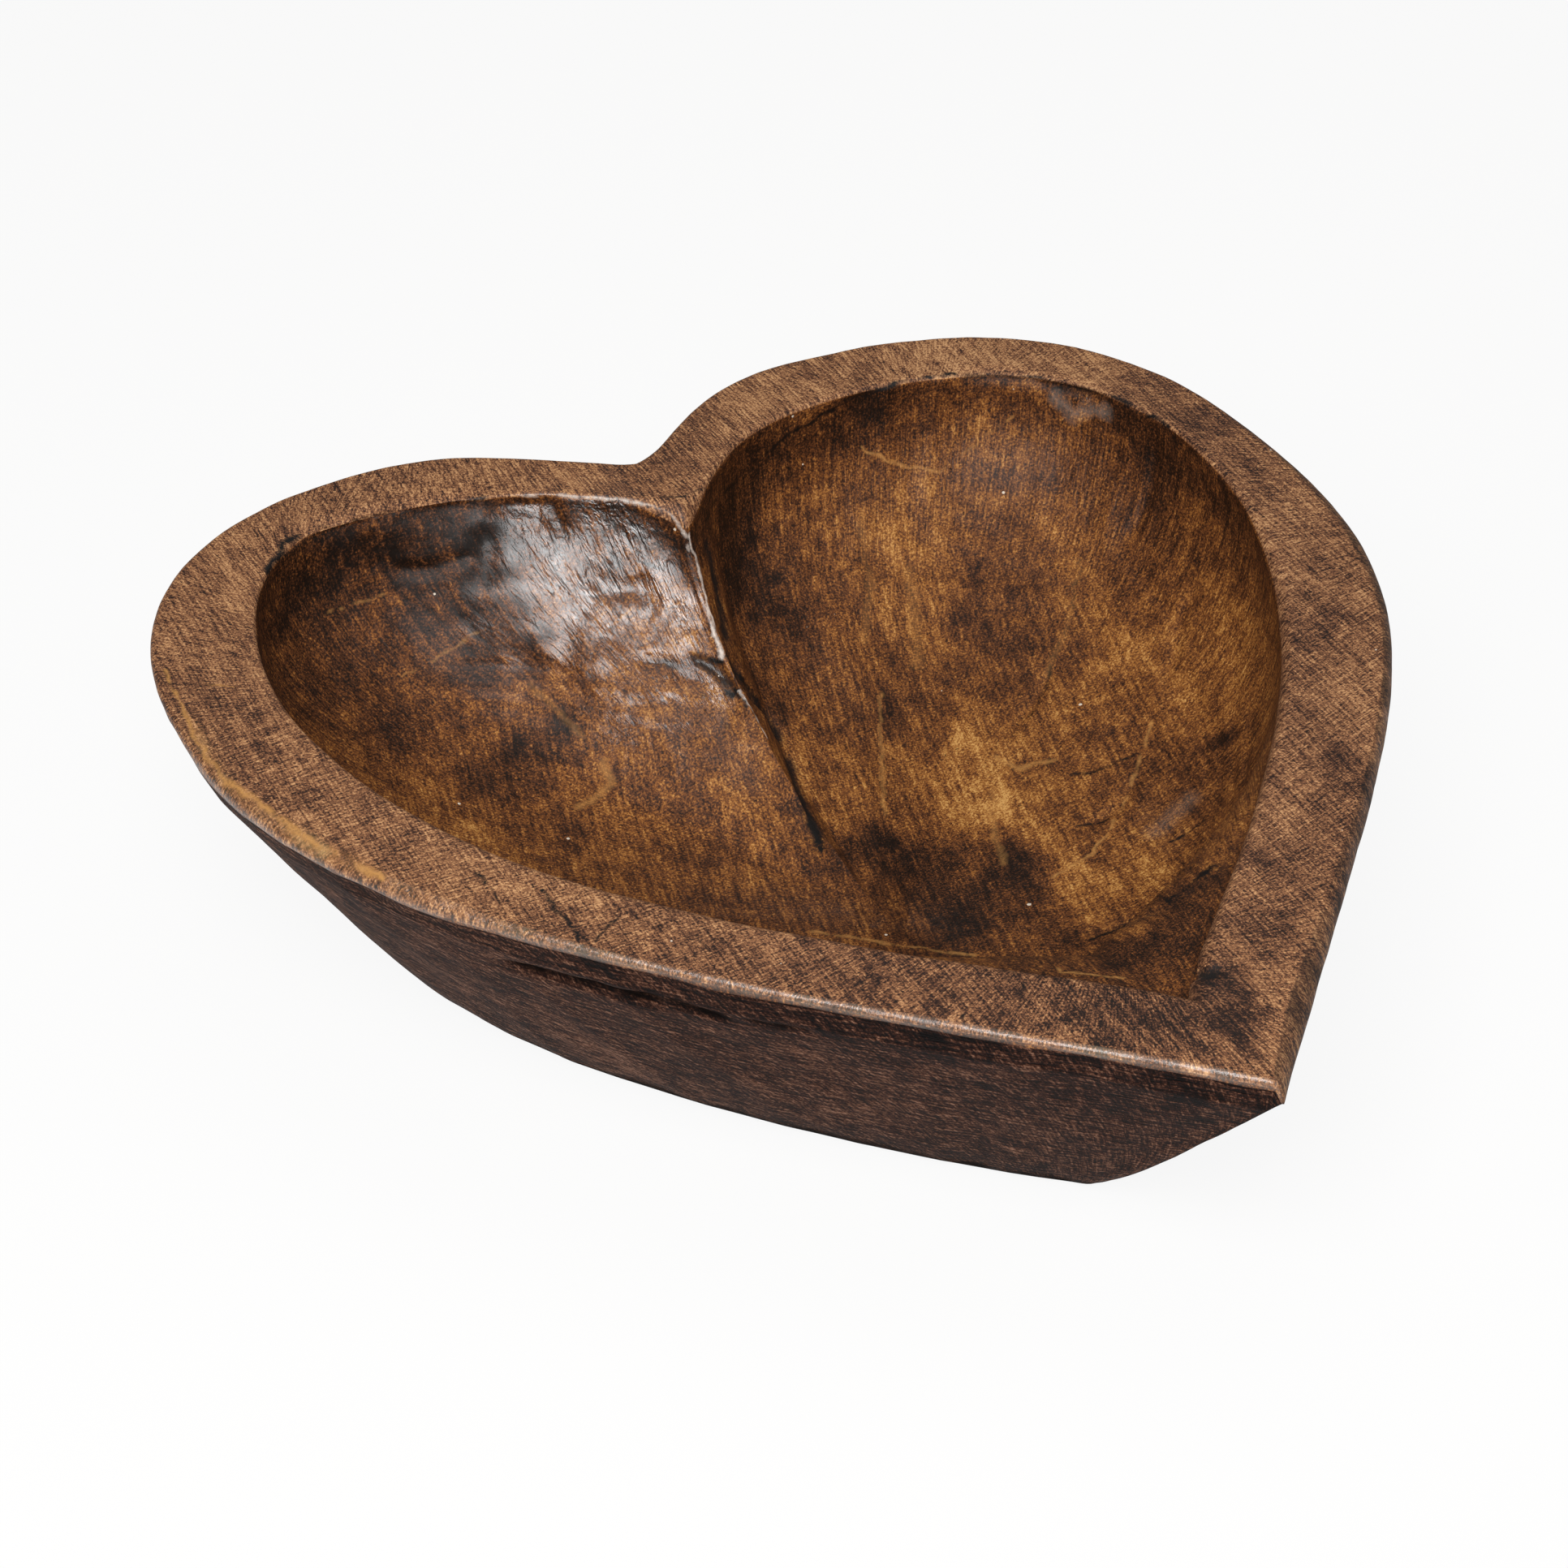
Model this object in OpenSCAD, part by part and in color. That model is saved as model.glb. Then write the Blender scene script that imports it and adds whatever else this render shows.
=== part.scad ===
// Heart-shaped dough bowl, carved by hand and by eye from one block of wood.
// The origin is the middle of the bowl's outline, on the surface that the bowl stands on.
// +Z is up, and the point of the heart lies towards -Y.

/* [Outline] */
// Width across the two lobes, at the rim
bowl_width = 254; // [220:1:300]
// Length from the point to the top of the left lobe, at the rim
bowl_length = 272; // [236:1:320]
// Height from the foot to the top of the rim
bowl_height = 66; // [56:1:90]
// Distance of the top of the right lobe from the middle
right_lobe_x = 50; // [42:1:58]
// Distance of the top of the left lobe from the middle
left_lobe_x = 54; // [46:1:62]
// How much shorter the right lobe is than the left one
right_lobe_drop = 2; // [0:0.5:6]
// Distance from the top of the left lobe back to the widest place
lobe_length = 86; // [74:1:98]
// Depth of the cleft between the lobes, at the outer edge of the rim
cleft_depth = 25.5; // [16:0.5:32]

/* [Rim] */
// Width of the rim at the widest place on the right
right_rim_width = 16; // [12:0.5:20]
// Width of the rim at the widest place on the left
left_rim_width = 22; // [16:0.5:26]
// Distance from the top of the left lobe to the back of the right hollow
right_rim_back = 21; // [16:0.5:26]
// Distance from the top of the left lobe to the back of the left hollow
left_rim_back = 18; // [14:0.5:24]
// Distance from the point to the hollow
rim_point_length = 30; // [22:0.5:38]
// Radius on the worn outer edge of the rim
rim_outer_radius = 2.5; // [1:0.25:4]
// Radius on the inner edge of the rim
rim_inner_radius = 2.5; // [1:0.25:4]
// Height of the steep band under the top of the rim
band_height = 9; // [6:0.5:14]
// How far the band leans in at its lower edge
band_lean = 3; // [0.5:0.25:6]

/* [Hollow] */
// Thickness of the wood under the lowest place of the hollow
floor_thickness = 14; // [8:0.5:24]
// Depth of the cleft at the edge of the hollow, where the ridge starts
hollow_cleft_depth = 50; // [42:0.5:58]
// Distance of the back of the right hollow from the middle
right_hollow_x = 55; // [46:1:64]
// Distance of the back of the left hollow from the middle
left_hollow_x = 68; // [58:1:76]
// Distance from the back of the right hollow to its widest place
right_hollow_length = 51; // [42:1:60]
// Distance from the back of the left hollow to its widest place
left_hollow_length = 64; // [54:1:74]
// How far the shelf under the point reaches into the hollow
nose_reach = 36; // [0:1:44]
// How far the hollow's end is rounded out to each side, below the shelf
nose_round = 34; // [20:1:42]

/* [Foot] */
// Distance that the foot lies in from the rim, at the sides and at the lobes
foot_inset = 44; // [36:1:52]
// Distance that the foot lies in from the point
foot_point_inset = 60; // [50:1:70]
// Distance of the tops of the foot's lobes from the middle
foot_lobe_x = 53; // [44:1:60]
// Distance from the tops of the foot's lobes to its widest place
foot_lobe_length = 46; // [36:1:56]
// Depth of the cleft that is left at the foot
foot_cleft_depth = 12; // [4:0.5:22]
// How far the wall swells out beside the foot before it rises
foot_swell = 4; // [1:0.5:12]

/* [Hidden] */
wood_colour = "#6b4526";

// The handles of an outline's curves, as shares of the sizes that they follow: run and rise at
// the cleft, before and after the top of the lobe, above and below the widest place, and run and
// rise at the point
right_rim_shares = [0.26, 0.06, 0.56, 0.97, 0.33, 0.37, 0.69, 0.48];
left_rim_shares = [0.20, 0.06, 0.56, 0.38, 0.83, 0.40, 0.35, 0.26];
right_hollow_shares = [0.27, 0.22, 0.62, 0.71, 0.51, 0.50, 0.05, 0.08];
left_hollow_shares = [0.12, 0.19, 0.59, 0.60, 0.45, 0.52, 0.08, 0.11];
foot_shares = [0.66, 0, 0.62, 0.60, 0.65, 0.38, 0.05, 0];

// Share of the wall's height that it rises beside the foot before it leans out
wall_rise_share = 0.47;
// Share of a crown's curve over which the ridge's crest passes into its flank
crest_share = 0.35;
// Share of the left crown's curve at which the broad cheek of the ridge passes into the wall
cheek_share = 0.6;

// How the hollow falls from its edge to its floor: with two twos it is round
wall_powers = [2.5, 2.5];
crest_powers = [1.5, 1.7];
cheek_powers = [1.2, 2.1];
// Spreads the rings of the hollow over its depth
ring_power = 0.8;
// How soon the shelf under the point ends below the rim
shelf_power = 12;

// Points on each curve of half an outline
crown_steps = 11;
lobe_steps = 15;
side_steps = 20;
// Rings on each curve of the section
wall_rings = 6;
edge_rings = 4;
rim_rings = 2;
hollow_rings = 22;
quarter_turn = 90;

half_width = bowl_width / 2;
half_length = bowl_length / 2;
widest_y = half_length - lobe_length;
rim_width = (right_rim_width + left_rim_width) / 2;

// Point at t, from 0 to 1, on a cubic curve with two handles
function curve(p, t) =
    pow(1 - t, 3) * p[0] + 3 * t * pow(1 - t, 2) * p[1] + 3 * t * t * (1 - t) * p[2] + pow(t, 3) * p[3];

// Points along such a curve, without its last one
function curve_points(p, steps) = [for (i = [0 : steps - 1]) curve(p, i / steps)];

// Value at share t of the way from a to b
function between(a, b, t) = a + (b - a) * t;

// Rises from 0 to 1, fast at first
function settle(t) = 1 - pow(1 - t, shelf_power);

// Rises from 0 to 1, slowly at both ends
function ease(t) = t * t * (3 - 2 * t);

// Distance to the middle of the hollow, as a share, at a drop from 0 at its edge to 1 at its floor
function fall(drop, powers) = pow(1 - pow(drop, powers[0]), 1 / powers[1]);

// Half a heart: the ten points that its three curves follow, from the cleft over the top of the
// lobe and the widest place to the point
function half_heart(width, top, widest, lobe, cleft, point, shares) = [
    [0, cleft],
    [shares[0] * lobe, cleft + shares[1] * lobe],
    [lobe - shares[2] * lobe, top],
    [lobe, top],
    [lobe + shares[3] * (width - lobe), top],
    [width, widest + shares[4] * (top - widest)],
    [width, widest],
    [width, widest - shares[5] * (widest - point)],
    [shares[6] * width, point + shares[7] * (widest - point)],
    [0, point]
];

// Half an outline, without the end of its point
function half_outline(h) =
    concat(
        curve_points([h[0], h[1], h[2], h[3]], crown_steps),
        curve_points([h[3], h[4], h[5], h[6]], lobe_steps),
        curve_points([h[6], h[7], h[8], h[9]], side_steps)
    );

// A whole outline at height z from its two halves, clockwise from the cleft as seen from above
function ring(right, left, point, z) =
    concat(
        [for (p = right) [p.x, p.y, z]],
        [[point.x, point.y, z]],
        [for (i = [len(left) - 1 : -1 : 1]) [-left[i].x, left[i].y, z]]
    );

// The outline at height z that lies a share of the way from one pair of half hearts to another
function ring_between(from, to, t, z) =
    let (right = between(from[0], to[0], t), left = between(from[1], to[1], t))
    ring(half_outline(right), half_outline(left), right[9], z);

// The right and the left half of the rim's outer edge, of the hollow's edge and of the foot
rim_hearts = [
    half_heart(half_width, half_length - right_lobe_drop, widest_y, right_lobe_x,
        half_length - cleft_depth, -half_length, right_rim_shares),
    half_heart(half_width, half_length, widest_y, left_lobe_x,
        half_length - cleft_depth, -half_length, left_rim_shares)
];
right_hollow_back = half_length - right_rim_back;
left_hollow_back = half_length - left_rim_back;
hollow_hearts = [
    half_heart(half_width - right_rim_width, right_hollow_back, right_hollow_back - right_hollow_length,
        right_hollow_x, half_length - hollow_cleft_depth, rim_point_length - half_length, right_hollow_shares),
    half_heart(half_width - left_rim_width, left_hollow_back, left_hollow_back - left_hollow_length,
        left_hollow_x, half_length - hollow_cleft_depth, rim_point_length - half_length, left_hollow_shares)
];
foot_back = half_length - foot_inset;
foot_heart = half_heart(half_width - foot_inset, foot_back, foot_back - foot_lobe_length, foot_lobe_x,
    foot_back - foot_cleft_depth, foot_point_inset - half_length, foot_shares);
foot_hearts = [foot_heart, foot_heart];

// The wall outside, from the foot up to the band, as pairs of inset and height
wall_top = [band_lean, bowl_height - band_height];
wall_foot = [foot_inset, 0];
wall_swell = [foot_inset - foot_swell, 0];
wall_curve = [wall_foot, wall_swell, between(wall_top, wall_swell, wall_rise_share), wall_top];
wall_section = concat(curve_points(wall_curve, wall_rings), [wall_top]);
wall_outlines = [
    for (p = wall_section)
        ring_between(rim_hearts, foot_hearts, p[0] / foot_inset, p[1])
];

// The rim: its worn outer edge, its flat and its inner edge, as pairs of inset and height
rim_end = rim_width - rim_inner_radius;
outer_edge = [
    for (i = [0 : edge_rings])
        let (a = i * quarter_turn / edge_rings)
        [rim_outer_radius * (1 - cos(a)), bowl_height - rim_outer_radius * (1 - sin(a))]
];
rim_flat = [
    for (i = [1 : rim_rings])
        [between(rim_outer_radius, rim_end, i / rim_rings), bowl_height]
];
inner_edge = [
    for (i = [1 : edge_rings])
        let (a = i * quarter_turn / edge_rings)
        [rim_end + rim_inner_radius * sin(a), bowl_height - rim_inner_radius * (1 - cos(a))]
];
rim_outlines = [
    for (p = concat(outer_edge, rim_flat, inner_edge))
        ring_between(rim_hearts, hollow_hearts, p[0] / rim_width, p[1])
];

// Place of a column along the crown's curve, from 0 at the cleft to 1 at the top of the lobe
function crown_place(column) = min(column / crown_steps, 1);

// Shares of the hollow's columns on the right, where the wall starts beside the crest
function right_falls(drop) = [
    for (i = [0 : crown_steps + lobe_steps + side_steps - 1])
        between(fall(drop, crest_powers), fall(drop, wall_powers), min(crown_place(i) / crest_share, 1))
];

// Shares of the hollow's columns on the left, where a broad cheek lies between crest and wall
function left_falls(drop) = [
    for (i = [0 : crown_steps + lobe_steps + side_steps - 1])
        let (
            flank = ease(min(crown_place(i) / crest_share, 1)),
            ridge = between(fall(drop, crest_powers), fall(drop, cheek_powers), flank),
            past_cheek = max(crown_place(i) - cheek_share, 0) / (1 - cheek_share)
        )
        between(ridge, fall(drop, wall_powers), ease(past_cheek))
];

// Half an outline of the hollow: its edge drawn in by its columns' shares, and pushed in at the point
function hollow_half(edge, shares, push) = [for (i = [0 : len(edge) - 1]) edge[i] * shares[i] + push[i]];

// The hollow: its edge falls to the floor, the ridge stays below the cleft, and a shelf fills the point
hollow_top = bowl_height - rim_inner_radius;
still = [0, 0];
hollow_outlines = [
    for (i = [1 : hollow_rings - 1])
        let (
            drop = pow(sin(i * quarter_turn / hollow_rings), ring_power),
            share = fall(drop, wall_powers),
            nose_in = [0, nose_reach * settle(drop) * (1 - drop * drop)],
            nose_side = [nose_round * settle(drop) * share, 0],
            push = half_outline([
                still, still, still, still, still, still, still, still, nose_in + nose_side, nose_in
            ])
        )
        ring(
            hollow_half(half_outline(hollow_hearts[0]), right_falls(drop), push),
            hollow_half(half_outline(hollow_hearts[1]), left_falls(drop), push),
            hollow_hearts[0][9] * share + nose_in,
            between(hollow_top, floor_thickness, drop)
        )
];

// Skin between neighbouring rings, closed by a fan at each end
module skin(rings, first_middle, last_middle) {
    n = len(rings[0]);
    end = (len(rings) - 1) * n;
    first = end + n;
    last = first + 1;
    points = concat([for (r = rings) each r], [first_middle, last_middle]);
    first_fan = [for (i = [0 : n - 1]) [first, (i + 1) % n, i]];
    last_fan = [for (i = [0 : n - 1]) [last, end + i, end + (i + 1) % n]];
    sides = [
        for (k = [0 : n : end - n], i = [0 : n - 1])
            let (a = k + i, b = k + (i + 1) % n)
            each [[a, b + n, a + n], [a, b, b + n]]
    ];
    polyhedron(points, concat(first_fan, sides, last_fan), convexity = 6);
}

module bowl() {
    color(wood_colour)
        skin(concat(wall_outlines, rim_outlines, hollow_outlines), [0, 0, 0], [0, 0, floor_thickness]);
}

bowl();
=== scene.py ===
"""Heart-shaped dough bowl, carved by hand from one block of wood, stained dark brown and waxed."""

import logging
import math
from dataclasses import dataclass, field
from enum import Enum

import bpy
import numpy as np
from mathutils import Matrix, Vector
from mathutils.bvhtree import BVHTree


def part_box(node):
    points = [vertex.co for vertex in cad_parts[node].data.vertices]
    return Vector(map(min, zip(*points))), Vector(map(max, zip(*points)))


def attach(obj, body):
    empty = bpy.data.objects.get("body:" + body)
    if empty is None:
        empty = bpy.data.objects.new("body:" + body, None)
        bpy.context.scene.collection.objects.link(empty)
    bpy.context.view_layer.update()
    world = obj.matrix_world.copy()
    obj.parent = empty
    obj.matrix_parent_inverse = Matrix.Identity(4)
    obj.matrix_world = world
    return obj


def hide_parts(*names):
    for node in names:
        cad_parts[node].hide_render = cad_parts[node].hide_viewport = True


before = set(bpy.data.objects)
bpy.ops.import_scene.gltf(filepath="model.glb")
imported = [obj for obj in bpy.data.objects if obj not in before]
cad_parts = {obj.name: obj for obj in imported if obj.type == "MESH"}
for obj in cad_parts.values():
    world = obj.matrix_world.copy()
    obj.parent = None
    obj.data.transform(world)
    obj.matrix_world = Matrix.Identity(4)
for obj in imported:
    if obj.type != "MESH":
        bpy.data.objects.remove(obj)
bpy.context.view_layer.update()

CAD_NODE = "bowl"
BODY = "root"

MM = 0.001
PHOTO_PIXELS = 1932
QUARTER_TURN = math.pi / 2
RUN = "run"
NOISE_MIDDLE = 0.5
WAVE_STEPS = (1.0, 2.1, 4.3)
# Half a heart: its curves, their control points, and the first of the two at its point
CURVES = 3
CONTROLS = 10
POINT_HANDLE = 8

Pixel = tuple[float, float]
Span = tuple[float, float]
Pair = tuple[float, float]
Stops = tuple[tuple[float, str], ...]

log = logging.getLogger("dough_bowl")


class Side(Enum):
    """The two halves of the heart, as seen from above with the point towards the viewer."""

    RIGHT = 1
    LEFT = -1


class Part(Enum):
    """The stretches of the bowl's section, from the middle of the foot to the middle of the floor."""

    FOOT = "foot"
    WALL = "wall"
    BAND = "band"
    ARRIS = "arris"
    RIM = "rim"
    EDGE = "edge"
    HOLLOW = "hollow"


class Paint(Enum):
    """The attributes of the carved skin that its finish reads."""

    RIM = "rim"
    WALL = "wall"
    FLOOR = "floor"
    # TONE also carries painted light and shade: a lighter back rim, a darker front rim, and shade below
    # the back rim
    TONE = "tone"
    WAX = "wax"
    # DARK is dirt in cuts, and also painted shade in creases, undercuts, under the front arris and near
    # the floor
    DARK = "dark"
    WEAR = "wear"


class Grain(Enum):
    """What a pattern follows: the block of wood, or the way round the skin and down its section."""

    BLOCK = "block"
    SKIN = "skin"


class Where(Enum):
    """The stretch of a surface that a pattern covers."""

    ALL = "all"
    SIDES = "sides"
    FLOOR = "floor"


class Ink(Enum):
    """The colours of thin lines: dirt and painted shade, bare wood on a worn ridge, and painted highlight.
    """

    # Dark ink: dirt in cuts, and painted shade beside the crest, under the chip's lip and along the inner
    # edge
    DIRT_AND_SHADE = "#0b0604"
    BARE = "#b98548"
    # Pale ink: painted highlight along the crest, and painted sheen of wax
    PAINTED_HIGHLIGHT = "#d6c8bc"


def linear(hex_colour: str) -> tuple[float, float, float, float]:
    """Turns an sRGB hex value into a linear colour.

    Args:
        hex_colour: Six hex digits after a hash sign.

    Returns:
        Linear red, green and blue, and an alpha of one.
    """
    digits = hex_colour.lstrip("#")
    levels = [int(digits[i:i + 2], 16) / 255 for i in (0, 2, 4)]
    red, green, blue = (v / 12.92 if v <= 0.04045 else ((v + 0.055) / 1.055) ** 2.4 for v in levels)
    return red, green, blue, 1.0


def add(
    tree: bpy.types.NodeTree,
    kind: str,
    inputs: dict | None = None,
    out: int | str = 0,
    ramp: Stops = (),
    **settings: object,
) -> bpy.types.NodeSocket | None:
    """Adds a node with its settings and links.

    Args:
        tree: The node tree that gets the node.
        kind: The node's type.
        inputs: A value or another node's output for each input that is set.
        out: The output to hand back.
        ramp: The places and sRGB hex colours of a colour ramp.
        settings: The node's own properties.

    Returns:
        The chosen output, or nothing for a node without outputs.
    """
    node = tree.nodes.new(kind)
    for name, value in settings.items():
        setattr(node, name, value)
    for key, value in (inputs or {}).items():
        if isinstance(value, bpy.types.NodeSocket):
            tree.links.new(value, node.inputs[key])
        else:
            node.inputs[key].default_value = value
    for i, (place, colour) in enumerate(ramp):
        stops = node.color_ramp.elements
        stop = stops[i] if i < len(stops) else stops.new(place)
        stop.position = place
        stop.color = linear(colour)
    return node.outputs[out] if node.outputs else None


def calc(
    tree: bpy.types.NodeTree, operation: str, *values: bpy.types.NodeSocket | float, clamp: bool = False,
) -> bpy.types.NodeSocket:
    """Adds a math node and hands back its result."""
    return add(tree, "ShaderNodeMath", dict(enumerate(values)), operation=operation, use_clamp=clamp)


def smooth(low: float, high: float, value: np.ndarray) -> np.ndarray:
    """Rises smoothly from 0 at low to 1 at high."""
    t = np.clip((value - low) / (high - low), 0, 1)
    return t * t * (3 - 2 * t)


def waver(points: np.ndarray, length: float, seed: int) -> np.ndarray:
    """A smooth, uneven shift of each point, mostly from -1 to 1 along each axis.

    Args:
        points: The points.
        length: The length of the widest waves, in the points' own units.
        seed: The seed of the waves' directions.

    Returns:
        One shift for each point.
    """
    chance = np.random.default_rng(seed)
    shift = np.zeros_like(points)
    for finer in WAVE_STEPS:
        rates = chance.normal(size=(3, 3)) * finer * math.tau / length
        shift += np.sin(points @ rates + chance.uniform(0, math.tau, 3)) / finer
    return shift


def settle(t: float, power: float) -> float:
    """Rises from 0 to 1, fast at first."""
    return 1 - (1 - t) ** power


def bulge(drop: float, power: float, root: float) -> float:
    """The share of its width that a hollow still has at a depth from 0 to 1."""
    return (1 - drop ** power) ** (1 / root)


@dataclass(frozen=True)
class HalfHeart:
    """Half of a heart-shaped outline, in millimetres: three cubic curves from the cleft to the point."""

    half_width: float
    lobe_y: float
    widest_y: float
    lobe_x: float
    cleft_y: float
    point_y: float
    cleft_run: float
    cleft_rise: float
    crown: float
    lobe_out: float
    lobe_up: float
    side_down: float
    point_run: float
    point_rise: float

    def controls(self) -> np.ndarray:
        """The control points of the three curves, for the right half.

        Returns:
            Ten points, in millimetres.
        """
        return np.array([
            (0, self.cleft_y),
            (self.cleft_run, self.cleft_y + self.cleft_rise),
            (self.lobe_x - self.crown, self.lobe_y),
            (self.lobe_x, self.lobe_y),
            (self.lobe_x + self.lobe_out, self.lobe_y),
            (self.half_width, self.widest_y + self.lobe_up),
            (self.half_width, self.widest_y),
            (self.half_width, self.widest_y - self.side_down),
            (self.point_run, self.point_y + self.point_rise),
            (0, self.point_y),
        ], float)


def curve_weights(place: float) -> np.ndarray:
    """The share that each control point of a half heart has in a point of its outline.

    Args:
        place: From 0 at the cleft over 1 and 2, where the curves join, to 3 at the point.

    Returns:
        Ten shares that add up to one.
    """
    first = min(int(place), CURVES - 1)
    t = place - first
    shares = np.zeros(CONTROLS)
    shares[3 * first:3 * first + 4] = ((1 - t) ** 3, 3 * t * (1 - t) ** 2, 3 * t * t * (1 - t), t ** 3)
    return shares


@dataclass
class PhotoCamera:
    """The camera, at the photograph's place, in millimetres of the bowl's own frame."""

    place: tuple[float, float, float] = (-339.4, -567.4, 503.9)
    target: tuple[float, float, float] = (-31.6, -13.3, 66.0)
    lens: float = 91.8
    sensor: float = 36.0
    nearest: float = 10.0
    farthest: float = 20000.0

    def axes(self) -> tuple[Vector, Vector, Vector]:
        """The directions that the camera goes by.

        Returns:
            Right, up and forward, each of length one.
        """
        forward = (Vector(self.target) - Vector(self.place)).normalized()
        right = forward.cross(Vector((0, 0, 1))).normalized()
        return right, right.cross(forward), forward

    def ray(self, x: float, y: float) -> Vector:
        """The direction that a pixel of the photograph looks in.

        Args:
            x: The pixel's column.
            y: The pixel's row.

        Returns:
            A direction of length one.
        """
        right, up, forward = self.axes()
        half = PHOTO_PIXELS / 2
        scale = self.sensor / PHOTO_PIXELS
        return (forward * self.lens + right * (x - half) * scale - up * (y - half) * scale).normalized()

    def build(self) -> None:
        """Makes the camera and gives it to the scene."""
        data = bpy.data.cameras.new("photo_camera")
        data.lens = self.lens
        data.sensor_width = self.sensor
        data.clip_start = self.nearest * MM
        data.clip_end = self.farthest * MM
        camera = bpy.data.objects.new("photo_camera", data)
        camera.location = Vector(self.place) * MM
        camera.rotation_euler = self.axes()[2].to_track_quat("-Z", "Y").to_euler()
        bpy.context.scene.collection.objects.link(camera)
        bpy.context.scene.camera = camera


@dataclass(frozen=True)
class Mark:
    """A cut, chip, hollow or worn stretch in the wood, wide enough to be carved.

    Its path is in pixels of the photograph, and is laid on the wood that shows there. Its width and
    depth are in millimetres, and a depth below zero stands proud. Its darkness is dirt in some cuts,
    and painted shade in creases, undercuts and under a chip's lip.
    """

    name: str
    path: tuple[Pixel, ...]
    width: float
    depth: float
    # Dirt in some cuts, and painted shade where the mark is a crease or lies under an overhang
    dark: float = 0.0
    wear: float = 0.0


@dataclass(frozen=True)
class Line:
    """A thin scratch, cut or worn edge, drawn by the finish: its path is in pixels of the photograph."""

    name: str
    ink: Ink
    path: tuple[Pixel, ...]
    width: float
    strength: float


@dataclass(frozen=True)
class Blotch:
    """A patch where the stain took more or less, or the wax is thicker, placed by a pixel."""

    x: float
    y: float
    radius: float
    # The stain's tone; some patches use it for painted light and shade instead
    tone: float
    wax: float = 0.0


MARKS = (
    Mark("crest", ((843, 655), (857, 690), (869, 735), (880, 775), (890, 812)), 1.4, -0.5),
    # The chips are dark partly from dirt and partly from painted shadow under the chip's lip; the dent
    # below is painted shadow
    Mark("chip_at_crest", ((846, 812), (866, 814), (884, 826), (904, 850)), 1.5, 1.8, dark=0.7),
    Mark("chip_left", ((790, 814), (820, 816), (842, 822)), 1.3, 1.1, dark=0.5),
    Mark("dent_and_shade_below_chip", ((838, 826), (866, 842), (890, 866), (900, 890)), 3.4, 1.5, dark=0.2),
    # Painted shadow on the steep right flank of the crest, down to the floor
    Mark("crease_high", ((868, 650), (880, 700), (892, 760), (900, 810)), 2.4, 0.6, dark=0.7),
    Mark("crease_mid", ((900, 810), (916, 838), (944, 880), (964, 918)), 2.2, 1.4, dark=0.9),
    Mark(
        "crease_low",
        ((964, 918), (980, 955), (994, 995), (1006, 1025), (1014, 1050)),
        2.0, 1.0, dark=0.8,
    ),
    Mark("notch_in_edge", ((676, 612), (679, 634), (692, 656)), 1.6, 1.6, dark=0.5),
    # Painted shade under the overhanging back rim of the left lobe
    Mark(
        "undercut_left",
        ((345, 672), (400, 648), (470, 634), (540, 626), (600, 624)),
        3.0, 1.4, dark=0.1,
    ),
    Mark("undercut_mid", ((600, 624), (640, 622), (672, 624)), 2.2, 1.2, dark=0.1),
    Mark("facet_left", ((456, 650), (470, 690), (487, 705)), 1.5, 0.9, dark=0.1),
    Mark("slot_left", ((487, 702), (515, 704), (540, 698)), 1.5, 1.2, dark=0.2),
    Mark("slot_end", ((540, 698), (570, 688), (592, 684)), 1.5, 0.9, dark=0.1),
    Mark("facet_at_cheek", ((596, 650), (600, 690), (592, 724)), 2.0, 1.3, dark=0.1),
    Mark("dimple_in_cheek", ((690, 770), (700, 790), (696, 812)), 4.0, 0.9, dark=0.1),
    Mark("step_in_cheek", ((725, 700), (752, 728), (790, 722), (812, 740)), 2.2, 0.7),
    Mark("step_below_gloss", ((640, 800), (668, 830), (690, 822), (712, 846)), 2.4, 0.8, dark=0.15),
    # Painted shade under the back rim of the right lobe
    Mark(
        "undercut_right",
        ((1172, 462), (1230, 462), (1275, 468), (1321, 480), (1375, 494)),
        1.8, 1.2, dark=0.6,
    ),
    Mark("gouge_back", ((1425, 536), (1417, 601), (1402, 643), (1383, 670)), 1.7, 0.7, dark=0.15),
    Mark("gouge_side", ((1476, 719), (1455, 761), (1446, 811), (1436, 842)), 1.6, 0.6, dark=0.15),
    Mark("gouge_middle", ((1298, 823), (1268, 872), (1245, 899)), 1.6, 0.6, dark=0.15),
    Mark("gouge_low", ((1402, 953), (1375, 999), (1337, 1018)), 1.6, 0.6, dark=0.2),
    Mark(
        "nose_edge",
        ((1551, 1002), (1497, 1072), (1440, 1115), (1383, 1140), (1344, 1152)),
        2.2, 0.5, dark=0.4,
    ),
    Mark("nose_slit", ((1463, 1200), (1480, 1197), (1497, 1197)), 1.5, 1.8, dark=0.9),
    Mark(
        "worn_arris_high",
        ((232, 880), (250, 920), (276, 964), (305, 988), (333, 1006)),
        1.1, 0.3, wear=0.3,
    ),
    Mark(
        "worn_arris_low",
        ((333, 1006), (360, 1026), (387, 1044), (420, 1056), (471, 1082)),
        1.7, 0.5, wear=0.45,
    ),
    Mark(
        "crack_left",
        ((612, 1186), (677, 1203), (730, 1216), (780, 1229), (830, 1240)),
        1.9, 1.8, dark=0.9,
    ),
    Mark(
        "crack_right",
        ((700, 1205), (757, 1222), (815, 1234), (872, 1249), (914, 1256)),
        1.6, 1.2, dark=0.9,
    ),
    Mark("crack_end", ((914, 1256), (960, 1264), (1006, 1274)), 1.4, 0.5, dark=0.6),
    Mark("cleft_chip", ((815, 548), (822, 554)), 2.0, 1.2, dark=0.6),
)

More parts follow.
